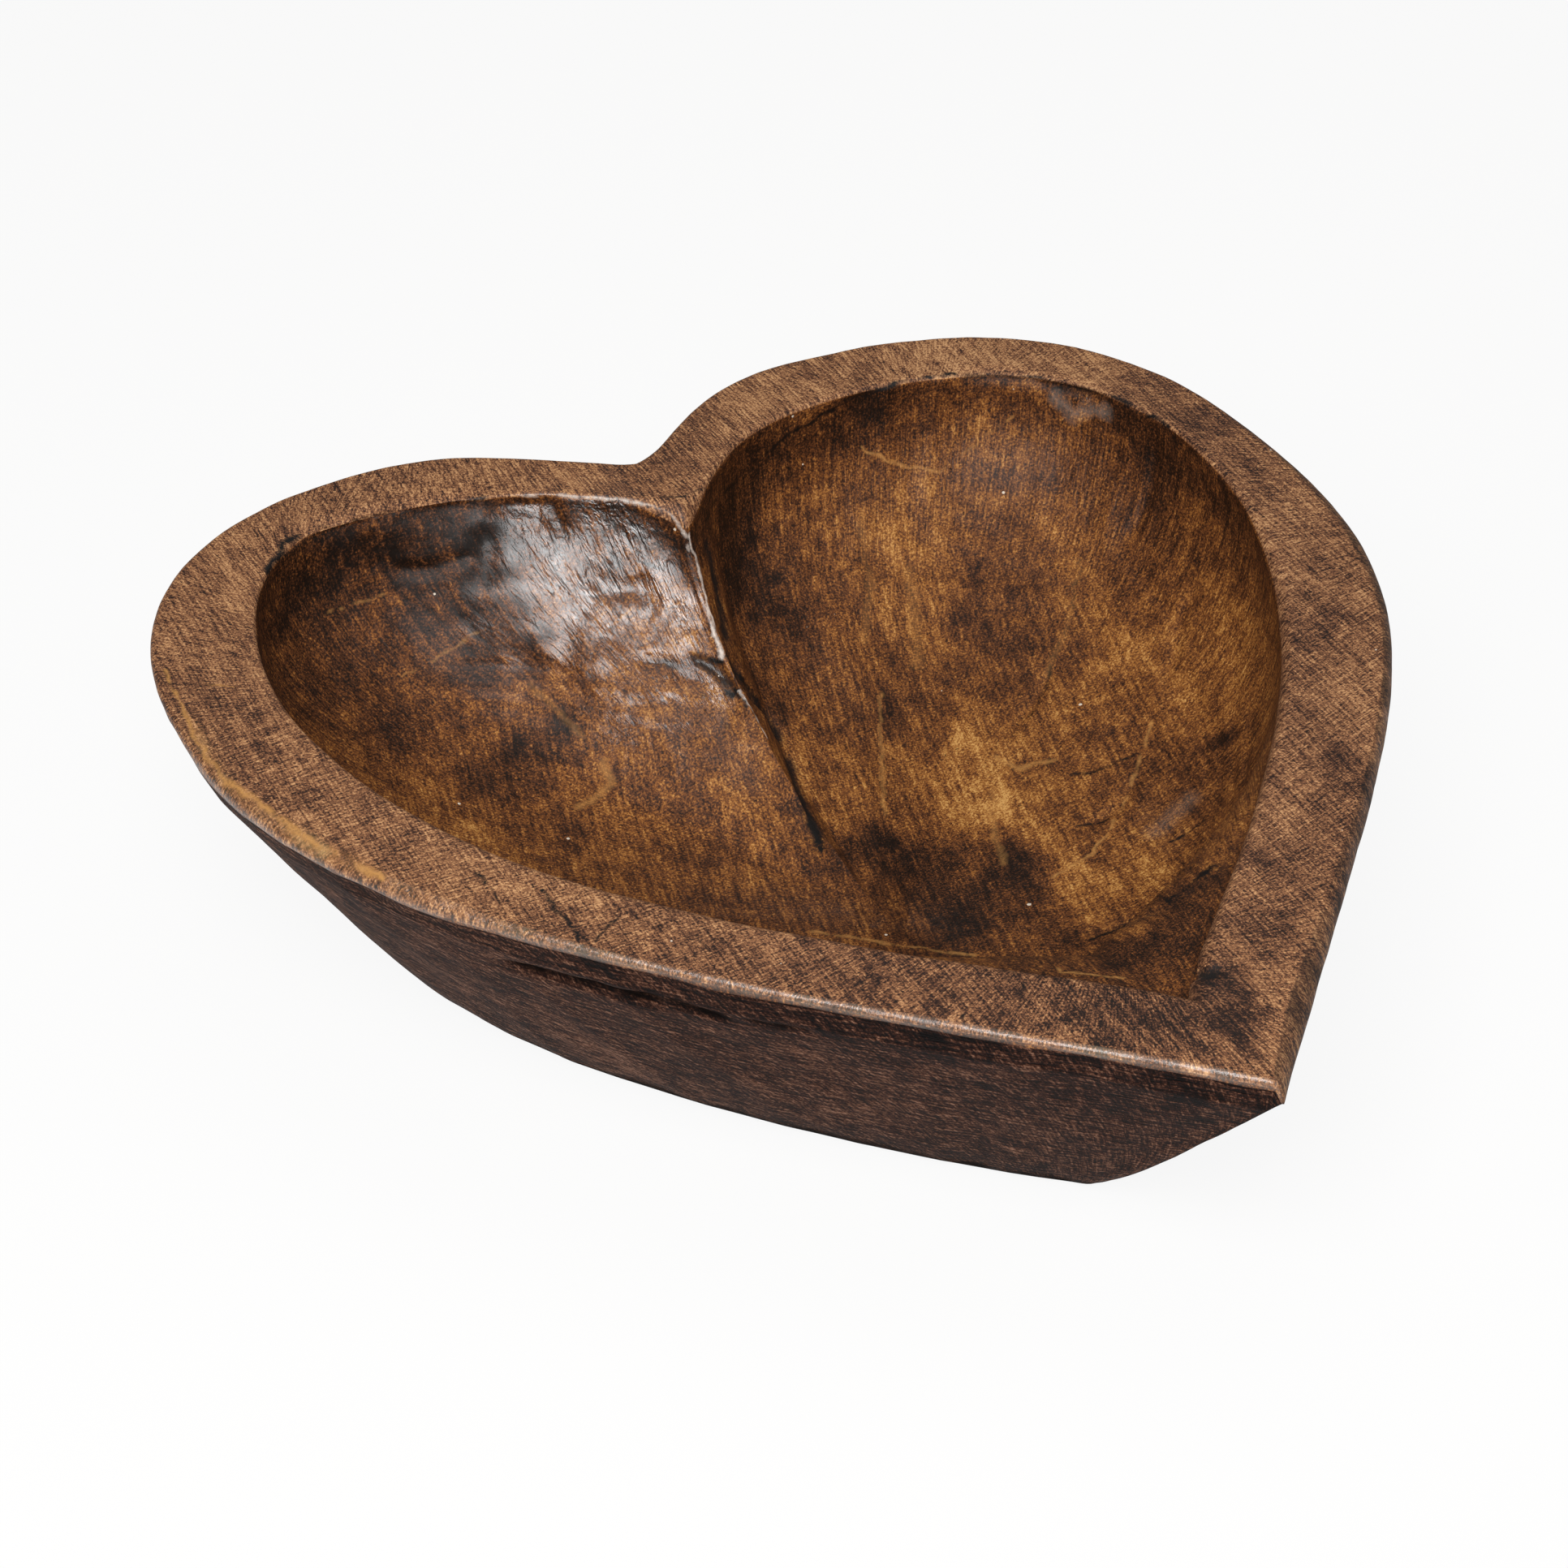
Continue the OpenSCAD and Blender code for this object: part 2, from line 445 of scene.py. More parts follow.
EDGE_LINES = (
    # Painted highlight: a pale line along the crest where it meets the rim
    Line(
        "crest_back", Ink.PAINTED_HIGHLIGHT,
        ((640, 611), (690, 611), (750, 614), (800, 621), (828, 636), (843, 655)),
        0.6, 0.4,
    ),
    # Painted shade: dark lines along the inner edge, where the hollow drops below the rim
    Line(
        "inner_edge_left", Ink.DIRT_AND_SHADE,
        ((330, 705), (350, 668), (400, 643), (470, 629), (540, 619), (600, 615)),
        1.2, 0.8,
    ),
    Line(
        "inner_edge_right", Ink.DIRT_AND_SHADE,
        ((870, 640), (905, 595), (960, 545), (1040, 495), (1120, 468)),
        0.9, 0.7,
    ),
    Line(
        "inner_edge_back", Ink.DIRT_AND_SHADE,
        ((1120, 468), (1172, 459), (1275, 465), (1375, 490), (1440, 525)),
        1.0, 0.8,
    ),
    Line(
        "inner_edge_front", Ink.BARE,
        ((1000, 1147), (1199, 1176), (1306, 1197), (1383, 1206)),
        0.7, 0.4,
    ),
)

HOLLOW_LINES = (
    # Painted highlight along the sharp crest
    Line(
        "crest_front", Ink.PAINTED_HIGHLIGHT,
        ((843, 655), (857, 690), (869, 735), (880, 775), (890, 812)),
        0.8, 0.6,
    ),
    Line("crest_end", Ink.PAINTED_HIGHLIGHT, ((912, 852), (930, 880), (945, 908)), 0.6, 0.45),
    Line("scratch_left_high", Ink.BARE, ((393, 759), (430, 748), (472, 732)), 0.5, 0.25),
    Line("scratch_left_low", Ink.BARE, ((499, 835), (550, 805), (597, 772)), 0.5, 0.25),
    Line("scratch_right_a", Ink.BARE, ((1061, 553), (1115, 574), (1157, 582)), 0.6, 0.4),
    Line("scratch_right_b", Ink.BARE, ((1159, 582), (1199, 551), (1249, 511)), 0.6, 0.3),
    Line("cheek_line", Ink.BARE, ((765, 762), (800, 723)), 0.5, 0.4),
    Line("ridge_line_a", Ink.BARE, ((1227, 933), (1253, 947), (1283, 940), (1300, 937)), 1.2, 0.35),
    Line("ridge_line_b", Ink.BARE, ((1223, 975), (1223, 1020), (1237, 1063)), 1.4, 0.2),
    Line("ridge_line_c", Ink.BARE, ((1297, 1080), (1347, 1053), (1387, 983), (1420, 887)), 0.7, 0.4),
    Line("ridge_line_d", Ink.BARE, ((1085, 855), (1086, 940), (1090, 1010)), 0.8, 0.25),
    Line("ring_left", Ink.BARE, ((742, 940), (752, 960), (738, 980), (712, 994)), 1.6, 0.25),
    Line("streak_left", Ink.BARE, ((655, 845), (690, 880), (716, 905)), 1.3, 0.15),
    Line("streak_right_a", Ink.BARE, ((1060, 640), (1072, 720), (1064, 790)), 1.6, 0.09),
    Line("streak_right_b", Ink.BARE, ((1120, 700), (1128, 760), (1130, 820)), 2.2, 0.1),
    Line("streak_right_c", Ink.BARE, ((1330, 690), (1318, 760), (1290, 830)), 1.2, 0.1),
    # Painted shadow along the right side of the crest and at its foot
    Line(
        "crest_shadow", Ink.DIRT_AND_SHADE,
        ((897, 808), (940, 872), (960, 912), (985, 975), (1012, 1046)),
        1.3, 0.95,
    ),
    Line("crest_foot", Ink.DIRT_AND_SHADE, ((900, 836), (918, 868)), 1.2, 0.9),
    # Painted sheen of wax catching the light
    Line("haze_back", Ink.PAINTED_HIGHLIGHT, ((1300, 490), (1322, 512), (1345, 505), (1362, 508)), 2.6, 0.1),
    Line("haze_side", Ink.PAINTED_HIGHLIGHT, ((1425, 1022), (1445, 1005), (1465, 985)), 4.0, 0.04),
    Line("cheek_scratch_a", Ink.DIRT_AND_SHADE, ((710, 620), (773, 643), (837, 667)), 0.6, 0.7),
    Line("cheek_scratch_b", Ink.DIRT_AND_SHADE, ((773, 687), (813, 700), (860, 715)), 0.6, 0.7),
    Line("cheek_scratch_c", Ink.DIRT_AND_SHADE, ((776, 646), (806, 686), (828, 710)), 0.5, 0.6),
    # Painted shadow under the lip of the chip at the crest
    Line(
        "chip_lip", Ink.DIRT_AND_SHADE,
        ((800, 813), (820, 817), (847, 827), (850, 816), (857, 808), (888, 817)),
        1.1, 0.95,
    ),
    Line("chip_face", Ink.DIRT_AND_SHADE, ((857, 812), (872, 826), (890, 842), (903, 856)), 1.5, 0.9),
    Line("chip_foot", Ink.DIRT_AND_SHADE, ((838, 832), (862, 850), (884, 876), (898, 896)), 1.2, 0.7),
    Line("notch", Ink.DIRT_AND_SHADE, ((676, 614), (677, 634), (684, 648), (693, 656)), 1.2, 0.9),
    Line(
        "slot", Ink.DIRT_AND_SHADE,
        ((456, 650), (470, 690), (487, 703), (515, 706), (540, 698), (568, 688)),
        0.9, 0.8,
    ),
    Line("gouge_line_a", Ink.DIRT_AND_SHADE, ((1295, 820), (1293, 840), (1280, 863), (1267, 883)), 0.7, 0.7),
    Line("gouge_line_b", Ink.DIRT_AND_SHADE, ((1320, 955), (1350, 950), (1400, 928)), 0.8, 0.6),
    Line("gouge_line_c", Ink.DIRT_AND_SHADE, ((1330, 1020), (1357, 1012), (1380, 1000)), 0.8, 0.8),
    Line("gouge_line_d", Ink.DIRT_AND_SHADE, ((1440, 1037), (1480, 1013)), 0.7, 0.8),
    Line(
        "nose_line", Ink.DIRT_AND_SHADE,
        ((1540, 1020), (1497, 1062), (1440, 1108), (1383, 1140), (1344, 1158)),
        1.0, 0.8,
    ),
)

RIM_LINES = (
    Line("saw_cut_a", Ink.DIRT_AND_SHADE, ((589, 1075), (624, 1117)), 0.5, 0.7),
    Line("saw_cut_b", Ink.DIRT_AND_SHADE, ((670, 1098), (716, 1159)), 0.7, 0.9),
    Line("saw_cut_c", Ink.DIRT_AND_SHADE, ((760, 1130), (735, 1160)), 0.5, 0.6),
    Line("saw_cut_d", Ink.DIRT_AND_SHADE, ((853, 1148), (876, 1173)), 0.5, 0.7),
    Line("saw_cut_e", Ink.DIRT_AND_SHADE, ((1037, 1157), (1067, 1211)), 0.6, 0.8),
    Line("saw_cut_f", Ink.DIRT_AND_SHADE, ((1136, 1173), (1190, 1253)), 0.6, 0.8),
    Line("saw_cut_g", Ink.DIRT_AND_SHADE, ((1247, 1196), (1262, 1220)), 0.5, 0.7),
    Line("scratch_rim", Ink.BARE, ((215, 845), (250, 843), (290, 846)), 0.5, 0.4),
    Line(
        "worn_edge_high", Ink.BARE,
        ((203, 826), (216, 858), (232, 890), (252, 928), (280, 962)),
        0.7, 0.5,
    ),
    Line(
        "worn_edge_low", Ink.BARE,
        ((280, 962), (333, 1000), (387, 1038), (425, 1058), (470, 1080)),
        1.1, 0.6,
    ),
    Line("cleft_line", Ink.DIRT_AND_SHADE, ((815, 612), (845, 612), (866, 600)), 0.6, 0.6),
)

BLOTCHES = (
    # Golden patches in the right lobe
    Blotch(1110, 690, 13, 0.08), Blotch(1125, 770, 9, 0.14), Blotch(1045, 810, 7, 0.1),
    Blotch(1200, 930, 12, 0.2), Blotch(1215, 1000, 9, 0.24), Blotch(1330, 860, 13, 0.14),
    Blotch(1380, 780, 12, 0.08), Blotch(1480, 640, 8, 0.14), Blotch(1130, 620, 12, 0.14),
    Blotch(1400, 1070, 13, 0.2), Blotch(1450, 1010, 9, 0.1, 0.6), Blotch(1250, 960, 16, 0.08),
    Blotch(1500, 800, 14, 0.06), Blotch(1110, 545, 9, 0.08),
    # Dark patches in the right lobe, and the shelf in the point
    Blotch(1172, 768, 5, -0.18), Blotch(1105, 875, 5, -0.2), Blotch(1080, 1055, 9, -0.3),
    Blotch(1140, 1050, 7, -0.25), Blotch(1250, 1075, 9, -0.3), Blotch(1160, 1110, 13, -0.22),
    # These three and the next one, right of the ridge, are painted shadow cast by the ridge
    Blotch(930, 580, 13, -0.2), Blotch(900, 680, 11, -0.3), Blotch(930, 760, 11, -0.2),
    Blotch(950, 850, 9, -0.16), Blotch(1000, 1000, 6, -0.25), Blotch(1270, 720, 15, 0.03),
    Blotch(1430, 590, 6, -0.08), Blotch(1060, 520, 12, -0.12), Blotch(1505, 914, 3, -0.3),
    Blotch(1400, 1165, 10, -0.16), Blotch(1470, 1150, 9, -0.18), Blotch(1500, 1090, 7, -0.16),
    Blotch(1310, 1160, 9, -0.18), Blotch(1210, 1145, 9, -0.18), Blotch(1340, 510, 4, 0.02, 1.0),
    # The left lobe, and the thick wax on the cheek of the ridge
    Blotch(470, 650, 14, -0.06), Blotch(540, 665, 10, 0.04), Blotch(380, 690, 10, -0.14),
    Blotch(350, 760, 8, -0.16), Blotch(600, 700, 9, -0.06), Blotch(600, 960, 8, -0.22),
    Blotch(645, 925, 5, -0.22), Blotch(690, 895, 4, -0.25), Blotch(490, 800, 9, 0.03),
    Blotch(735, 955, 4, 0.22), Blotch(700, 990, 5, 0.18), Blotch(560, 1030, 10, 0.14),
    Blotch(480, 960, 10, 0.05), Blotch(640, 1060, 9, 0.1), Blotch(680, 850, 7, 0.12),
    Blotch(870, 990, 9, 0.06), Blotch(420, 880, 10, -0.05), Blotch(480, 810, 22, -0.14),
    Blotch(560, 740, 16, -0.12), Blotch(680, 690, 13, 0.0, 0.7), Blotch(770, 700, 15, 0.02, 1.0),
    Blotch(830, 770, 12, 0.02, 1.0), Blotch(720, 800, 12, 0.0, 0.6), Blotch(790, 870, 11, 0.0, 0.6),
    Blotch(900, 930, 8, 0.0, 0.4), Blotch(880, 870, 7, 0.05, 0.9),
    # The rim: the broad lighter patches along the back and the broad darker ones along the front are
    # painted light and shade; the rest are stain
    Blotch(1640, 760, 8, -0.2), Blotch(1560, 600, 9, -0.12), Blotch(1500, 520, 8, -0.12),
    Blotch(1655, 950, 6, -0.22), Blotch(1640, 995, 5, -0.22), Blotch(1580, 1060, 7, -0.2),
    Blotch(1630, 1100, 6, -0.2), Blotch(1560, 1140, 8, -0.26), Blotch(1500, 1205, 5, -0.24),
    Blotch(1640, 860, 8, 0.08), Blotch(1540, 1300, 6, 0.1),
    Blotch(1450, 1300, 6, 0.08), Blotch(1500, 1240, 9, -0.1), Blotch(1340, 1240, 10, -0.08),
    Blotch(1200, 1220, 12, -0.04), Blotch(700, 1110, 6, 0.12), Blotch(880, 1190, 7, 0.08),
    Blotch(560, 1090, 7, 0.1), Blotch(250, 790, 14, 0.06), Blotch(1200, 440, 18, 0.1),
    Blotch(1000, 480, 12, 0.06), Blotch(480, 600, 12, 0.05), Blotch(1660, 700, 9, -0.08),
    Blotch(1080, 450, 20, 0.12), Blotch(1330, 450, 16, 0.08), Blotch(640, 590, 16, 0.08),
    Blotch(1150, 1205, 18, -0.2), Blotch(1400, 1250, 20, -0.16), Blotch(1520, 1270, 12, -0.14),
    Blotch(440, 1010, 16, -0.1), Blotch(940, 500, 16, 0.16), Blotch(300, 700, 18, 0.05),
    Blotch(1560, 640, 14, 0.06), Blotch(1640, 880, 14, 0.06),
    # Brown streaks low on the wall
    Blotch(770, 1310, 9, 0.16), Blotch(690, 1270, 8, 0.14), Blotch(600, 1225, 8, 0.1),
    Blotch(960, 1345, 4, 0.16), Blotch(1045, 1372, 4, 0.12), Blotch(1250, 1400, 12, 0.06),
    Blotch(700, 1180, 9, -0.12), Blotch(900, 1225, 10, -0.12), Blotch(1150, 1285, 10, -0.1),
)


@dataclass(frozen=True)
class Pattern:
    """Clouds, streaks or grit in the wood.

    The size is that of one of them along each axis, in millimetres, and the height their relief in
    millimetres. The weight shifts the stain's tone and the gloss roughens the surface. Dirt fills the
    pattern where its value is below the given one.
    """

    size: tuple[float, float, float]
    grain: Grain = Grain.BLOCK
    where: Where = Where.ALL
    weight: float = 0.0
    height: float = 0.0
    gloss: float = 0.0
    dirt_below: float = 0.0
    detail: float = 3.0
    roughness: float = 0.6
    distortion: float = 0.0
    turn: float = 0.0

    def socket(self, tree: bpy.types.NodeTree, place: bpy.types.NodeSocket) -> bpy.types.NodeSocket:
        """Draws the pattern.

        Args:
            tree: The material's nodes.
            place: Coordinates in metres.

        Returns:
            A value from 0 to 1, mostly near 0.5.
        """
        scaled = add(
            tree, "ShaderNodeMapping",
            {
                "Vector": place,
                "Rotation": (0, 0, math.radians(self.turn)),
                "Scale": tuple(s * MM for s in self.size),
            },
            vector_type="TEXTURE",
        )
        return add(
            tree, "ShaderNodeTexNoise",
            {
                "Vector": scaled, "Scale": 1.0, "Detail": self.detail,
                "Roughness": self.roughness, "Distortion": self.distortion,
            },
        )


@dataclass(frozen=True)
class Stroke:
    """One straight piece of a thin line on the bowl, in metres."""

    start: Vector
    end: Vector
    width: float
    strength: float


@dataclass(frozen=True)
class StainedWood:
    """Soft pale wood, carved with gouges, stained dark brown by hand and waxed: one stretch of the bowl.

    The stain sinks in unevenly, so golden and nearly black patches lie side by side, and dirt fills
    pits and torn fibres. The same dark layer also lays painted shade in creases, undercuts and near
    the floor. Fibres and scratches are finer on the real bowl, and are drawn as coarse as they need
    to show.
    """

    name: str
    stops: Stops
    tone: float
    patterns: tuple[Pattern, ...]
    roughness: float
    specular: float
    wood_ior: float = 1.5
    # Real wax has an index of about 1.45. With that, the gleam is too weak under the plain lamps.
    wax_ior: float = 1.7
    wax_gloss: float = 0.2
    wax_roughness: float = 0.2
    waxed_relief: float = 0.8
    speck_size: float = 0.0
    speck_spacing: float = 9.0
    speck_colour: str = "#d9cbb8"
    # A pattern is multiplied by the first of these and the second is added
    cloud_contrast: Pair = (3.0, -0.5)
    grit_contrast: Pair = (2.5, -0.35)
    wax_contrast: Pair = (2.5, -0.4)
    # These shape the dark layer, which lays dirt and painted shade
    dirt_and_shade_from: float = 0.1
    dirt_and_shade_full: float = 0.75
    dirt_and_shade_cover: float = 0.93
    dirt_and_shade_roughness: float = 0.35
    pit_sharpness: float = 20.0
    pit_cover: float = 0.85
    stroke_peak: float = 2.0
    swerve_length: float = 4.0
    swerve_reach: float = 3.0
    swerve_detail: float = 4.0
    cloud: Pattern = Pattern((7, 9, 7), detail=5, roughness=0.65, distortion=0.4)
    grit: Pattern = Pattern((0.7, 0.7, 0.7), detail=3, roughness=0.7)
    golden_stops: Stops = ((0.3, "#7a5028"), (0.5, "#a8763c"), (0.7, "#dcb372"))

    def material(self, lines: dict[Ink, list[Stroke]]) -> bpy.types.Material:
        """Makes the material with all its nodes.

        Args:
            lines: The thin strokes of each ink.

        Returns:
            The material.
        """
        material = bpy.data.materials.new(self.name)
        material.use_nodes = True
        tree = material.node_tree
        tree.nodes.clear()
        place = add(tree, "ShaderNodeTexCoord", out="Object")
        run = add(tree, "ShaderNodeAttribute", out="Vector", attribute_name=RUN)
        places = {Grain.BLOCK: place, Grain.SKIN: run}
        paint = {p: add(tree, "ShaderNodeAttribute", out="Fac", attribute_name=p.value) for p in Paint}
        floor = paint[Paint.FLOOR]
        shares = {Where.SIDES: calc(tree, "SUBTRACT", 1.0, floor), Where.FLOOR: floor}
        cloud = self.cloud.socket(tree, place)
        grit = self.grit.socket(tree, place)
        uneven = calc(tree, "MULTIPLY_ADD", cloud, *self.cloud_contrast)
        broken = calc(tree, "MULTIPLY_ADD", grit, *self.grit_contrast, clamp=True)
        wax = calc(tree, "MULTIPLY_ADD", cloud, *self.wax_contrast, clamp=True)
        wax = calc(tree, "MULTIPLY", paint[Paint.WAX], wax, clamp=True)

        tone = calc(tree, "MULTIPLY_ADD", paint[Paint.TONE], uneven, self.tone)
        roughness = calc(tree, "MULTIPLY_ADD", paint[Paint.WAX], -self.wax_gloss, self.roughness)
        relief = 0.0
        # The dark layer: dirt in cuts and pits, and painted shade from the dark attribute
        dirt_and_shade = calc(tree, "MULTIPLY", paint[Paint.DARK], uneven)
        dirt_and_shade = add(
            tree, "ShaderNodeMapRange",
            {
                "Value": dirt_and_shade, "From Min": self.dirt_and_shade_from, "From Max": self.dirt_and_shade_full,
                "To Max": self.dirt_and_shade_cover,
            },
            interpolation_type="SMOOTHSTEP",
        )
        for pattern in self.patterns:
            swing = calc(tree, "SUBTRACT", pattern.socket(tree, places[pattern.grain]), NOISE_MIDDLE)
            if pattern.where in shares:
                swing = calc(tree, "MULTIPLY", swing, shares[pattern.where])
            tone = calc(tree, "MULTIPLY_ADD", swing, pattern.weight, tone)
            relief = calc(tree, "MULTIPLY_ADD", swing, pattern.height, relief)
            roughness = calc(tree, "MULTIPLY_ADD", swing, pattern.gloss, roughness)
            if pattern.dirt_below:
                level = (pattern.dirt_below - NOISE_MIDDLE) * self.pit_sharpness
                pit = calc(tree, "MULTIPLY_ADD", swing, -self.pit_sharpness, level, clamp=True)
                dirt_and_shade = calc(tree, "MAXIMUM", dirt_and_shade, calc(tree, "MULTIPLY", pit, self.pit_cover))
        roughness = calc(tree, "MULTIPLY_ADD", dirt_and_shade, self.dirt_and_shade_roughness, roughness, clamp=True)

        golden = add(tree, "ShaderNodeValToRGB", {0: cloud}, ramp=self.golden_stops)
        worn = calc(tree, "MULTIPLY", paint[Paint.WEAR], broken)
        layers = [(worn, golden), (dirt_and_shade, linear(Ink.DIRT_AND_SHADE.value))]
        swerve = self.swerve(tree, place)
        for ink, strokes in lines.items():
            cover = calc(tree, "MULTIPLY", self.strokes(tree, swerve, strokes), broken, clamp=True)
            layers.append((cover, linear(ink.value)))
        if self.speck_size:
            layers.append((self.specks(tree, place), linear(self.speck_colour)))
        colour = add(tree, "ShaderNodeValToRGB", {0: tone}, ramp=self.stops)
        for share, over in layers:
            colour = add(tree, "ShaderNodeMix", {0: share, 6: colour, 7: over}, out=2, data_type="RGBA")

        fuller = calc(tree, "MULTIPLY_ADD", paint[Paint.WAX], self.waxed_relief, 1.0)
        relief = calc(tree, "MULTIPLY", relief, fuller)
        normal = add(tree, "ShaderNodeBump", {"Height": relief, "Strength": 1.0, "Distance": MM})
        shader = add(
            tree, "ShaderNodeBsdfPrincipled",
            {
                "Base Color": colour, "Roughness": roughness, "Normal": normal, "IOR": self.wood_ior,
                "Specular IOR Level": self.specular, "Coat Weight": wax, "Coat Normal": normal,
                "Coat Roughness": self.wax_roughness, "Coat IOR": self.wax_ior,
            },
        )
        add(tree, "ShaderNodeOutputMaterial", {"Surface": shader})
        return material

    def swerve(self, tree: bpy.types.NodeTree, place: bpy.types.NodeSocket) -> bpy.types.NodeSocket:
        """Shifts the coordinates a little, so that a stroke wavers as one made by hand.

        Args:
            tree: The material's nodes.
            place: Coordinates in metres.

        Returns:
            The shifted coordinates.
        """
        texture = {"Vector": place, "Scale": 1 / (self.swerve_length * MM), "Detail": self.swerve_detail}
        noise = add(tree, "ShaderNodeTexNoise", texture, out="Color")
        middle = (NOISE_MIDDLE,) * 3
        centred = add(tree, "ShaderNodeVectorMath", {0: noise, 1: middle}, operation="SUBTRACT")
        reach = self.swerve_reach * MM
        shift = add(tree, "ShaderNodeVectorMath", {0: centred, "Scale": reach}, operation="SCALE")
        return add(tree, "ShaderNodeVectorMath", {0: place, 1: shift}, operation="ADD")

    def strokes(
        self, tree: bpy.types.NodeTree, place: bpy.types.NodeSocket, strokes: list[Stroke],
    ) -> bpy.types.NodeSocket:
        """Draws thin straight strokes.

        Args:
            tree: The material's nodes.
            place: Coordinates in metres.
            strokes: The strokes, in metres.

        Returns:
            The share that the strokes cover, above one in the middle of a strong stroke.
        """
        cover = 0.0
        for stroke in strokes:
            reach = stroke.end - stroke.start
            rate = reach / reach.length_squared
            gap = add(tree, "ShaderNodeVectorMath", {0: place, 1: stroke.start}, operation="SUBTRACT")
            along = add(
                tree, "ShaderNodeVectorMath", {0: gap, 1: rate}, out="Value", operation="DOT_PRODUCT",
            )
            along = add(tree, "ShaderNodeClamp", {0: along})
            foot = add(tree, "ShaderNodeVectorMath", {0: reach, "Scale": along}, operation="SCALE")
            far = add(tree, "ShaderNodeVectorMath", {0: gap, 1: foot}, out="Value", operation="DISTANCE")
            peak = self.stroke_peak * stroke.strength
            share = calc(tree, "MULTIPLY_ADD", far, -peak / stroke.width, peak)
            cover = calc(tree, "MAXIMUM", share, cover)
        return cover

    def specks(self, tree: bpy.types.NodeTree, place: bpy.types.NodeSocket) -> bpy.types.NodeSocket:
        """Draws pale crumbs of wax, each in a cell of its own.

        Args:
            tree: The material's nodes.
            place: Coordinates in metres.

        Returns:
            One inside a crumb, and zero elsewhere.
        """
        texture = {"Vector": place, "Scale": 1 / (self.speck_spacing * MM)}
        far = add(tree, "ShaderNodeTexVoronoi", texture, out="Distance")
        chance = add(tree, "ShaderNodeTexVoronoi", texture, out="Color")
        size = add(tree, "ShaderNodeSeparateColor", {0: chance}, out="Red")
        radius = calc(tree, "MULTIPLY", size, self.speck_size / self.speck_spacing)
        return calc(tree, "LESS_THAN", far, radius)


# The gouged hollow: rubbed with wax, so that it gleams in broken patches. The eye sees short fibres
# that run down its walls and along its floor, pebbled tool marks and pale crumbs of wax.
WAXED_HOLLOW = StainedWood(
    name="stained_wood_waxed",
    stops=(
        (0.0, "#120803"), (0.2, "#2e1809"), (0.4, "#553018"),
        (0.58, "#7c4a22"), (0.76, "#a26a30"), (1, "#cd9a58"),
    ),
    tone=0.455,
    patterns=(
        Pattern((26, 40, 26), weight=0.55, detail=4, roughness=0.55, distortion=0.6),
        Pattern((6, 8, 6), weight=0.75, height=0.06, detail=7, roughness=0.72, distortion=0.4),
        Pattern((5, 7, 5), weight=0.2, height=0.26, detail=1, distortion=0.5),
        Pattern((1.2, 3.6, 3), Grain.SKIN, weight=0.5, height=0.18, detail=2, distortion=0.5),
        Pattern((0.9, 12, 3), Grain.SKIN, Where.SIDES, weight=1.1, height=0.03, detail=5, roughness=0.7),
        Pattern(
            (0.9, 12, 12), where=Where.FLOOR, weight=1.1, height=0.06, detail=5, roughness=0.7, turn=-16,
        ),
        Pattern((0.5, 0.5, 0.5), weight=1.8, height=0.02, roughness=0.7),
        Pattern((1.1, 1.6, 1.1), dirt_below=0.3, detail=2),
    ),
    roughness=0.55,
    specular=0.28,
    speck_size=0.5,
)

# The flat rim: sawn, then sanded by hand. The eye sees fine scratches that cross each other, and
# outer edges that many hands have polished.
SANDED_RIM = StainedWood(
    name="stained_wood_sanded",
    stops=((0.0, "#150b07"), (0.25, "#3b2216"), (0.5, "#774d33"), (0.75, "#a3724b"), (1, "#cf9e6e")),
    tone=0.52,
    patterns=(
        Pattern((26, 40, 26), weight=0.5, detail=4, roughness=0.55, distortion=0.6),
        Pattern((6, 8, 6), weight=0.7, height=0.2, detail=7, roughness=0.72, distortion=0.4),
        Pattern((0.5, 6, 3), Grain.SKIN, weight=1.7, height=0.04, detail=4, roughness=0.7),
        Pattern((0.5, 10, 10), weight=1.4, height=0.05, detail=4, roughness=0.7, turn=-4),
        Pattern((0.5, 6, 6), weight=0.6, height=0.03, roughness=0.7, turn=52),
        Pattern((0.5, 0.5, 0.5), weight=2.2, height=0.04, gloss=0.3, roughness=0.7),
        Pattern((0.8, 2.4, 2.4), dirt_below=0.3, detail=2),
    ),
    roughness=0.6,
    specular=0.4,
    speck_size=0.4,
)

# The outside: hacked to shape, never sanded and hardly waxed. The eye sees nearly black wood with
# short torn fibres along the wall, crossed by the combed traces of the tool.
RAW_WALL = StainedWood(
    name="stained_wood_raw",
    stops=((0.0, "#040202"), (0.3, "#180a06"), (0.5, "#341b12"), (0.72, "#644130"), (1, "#966f5a")),
    tone=0.48,
    patterns=(
        Pattern((26, 40, 26), weight=0.3, detail=4, roughness=0.55, distortion=0.6),
        Pattern((6, 8, 6), weight=0.5, height=0.3, detail=6, roughness=0.7, distortion=0.4),
        Pattern((9, 0.9, 3), Grain.SKIN, weight=1.9, height=0.5, dirt_below=0.34, detail=4, roughness=0.7),
        Pattern((0.7, 7, 3), Grain.SKIN, weight=1.6, height=0.3, detail=4, roughness=0.7, turn=28),
        Pattern((0.6, 0.6, 0.6), weight=1.6, height=0.15, roughness=0.7),
    ),
    roughness=0.66,
    specular=0.06,
)


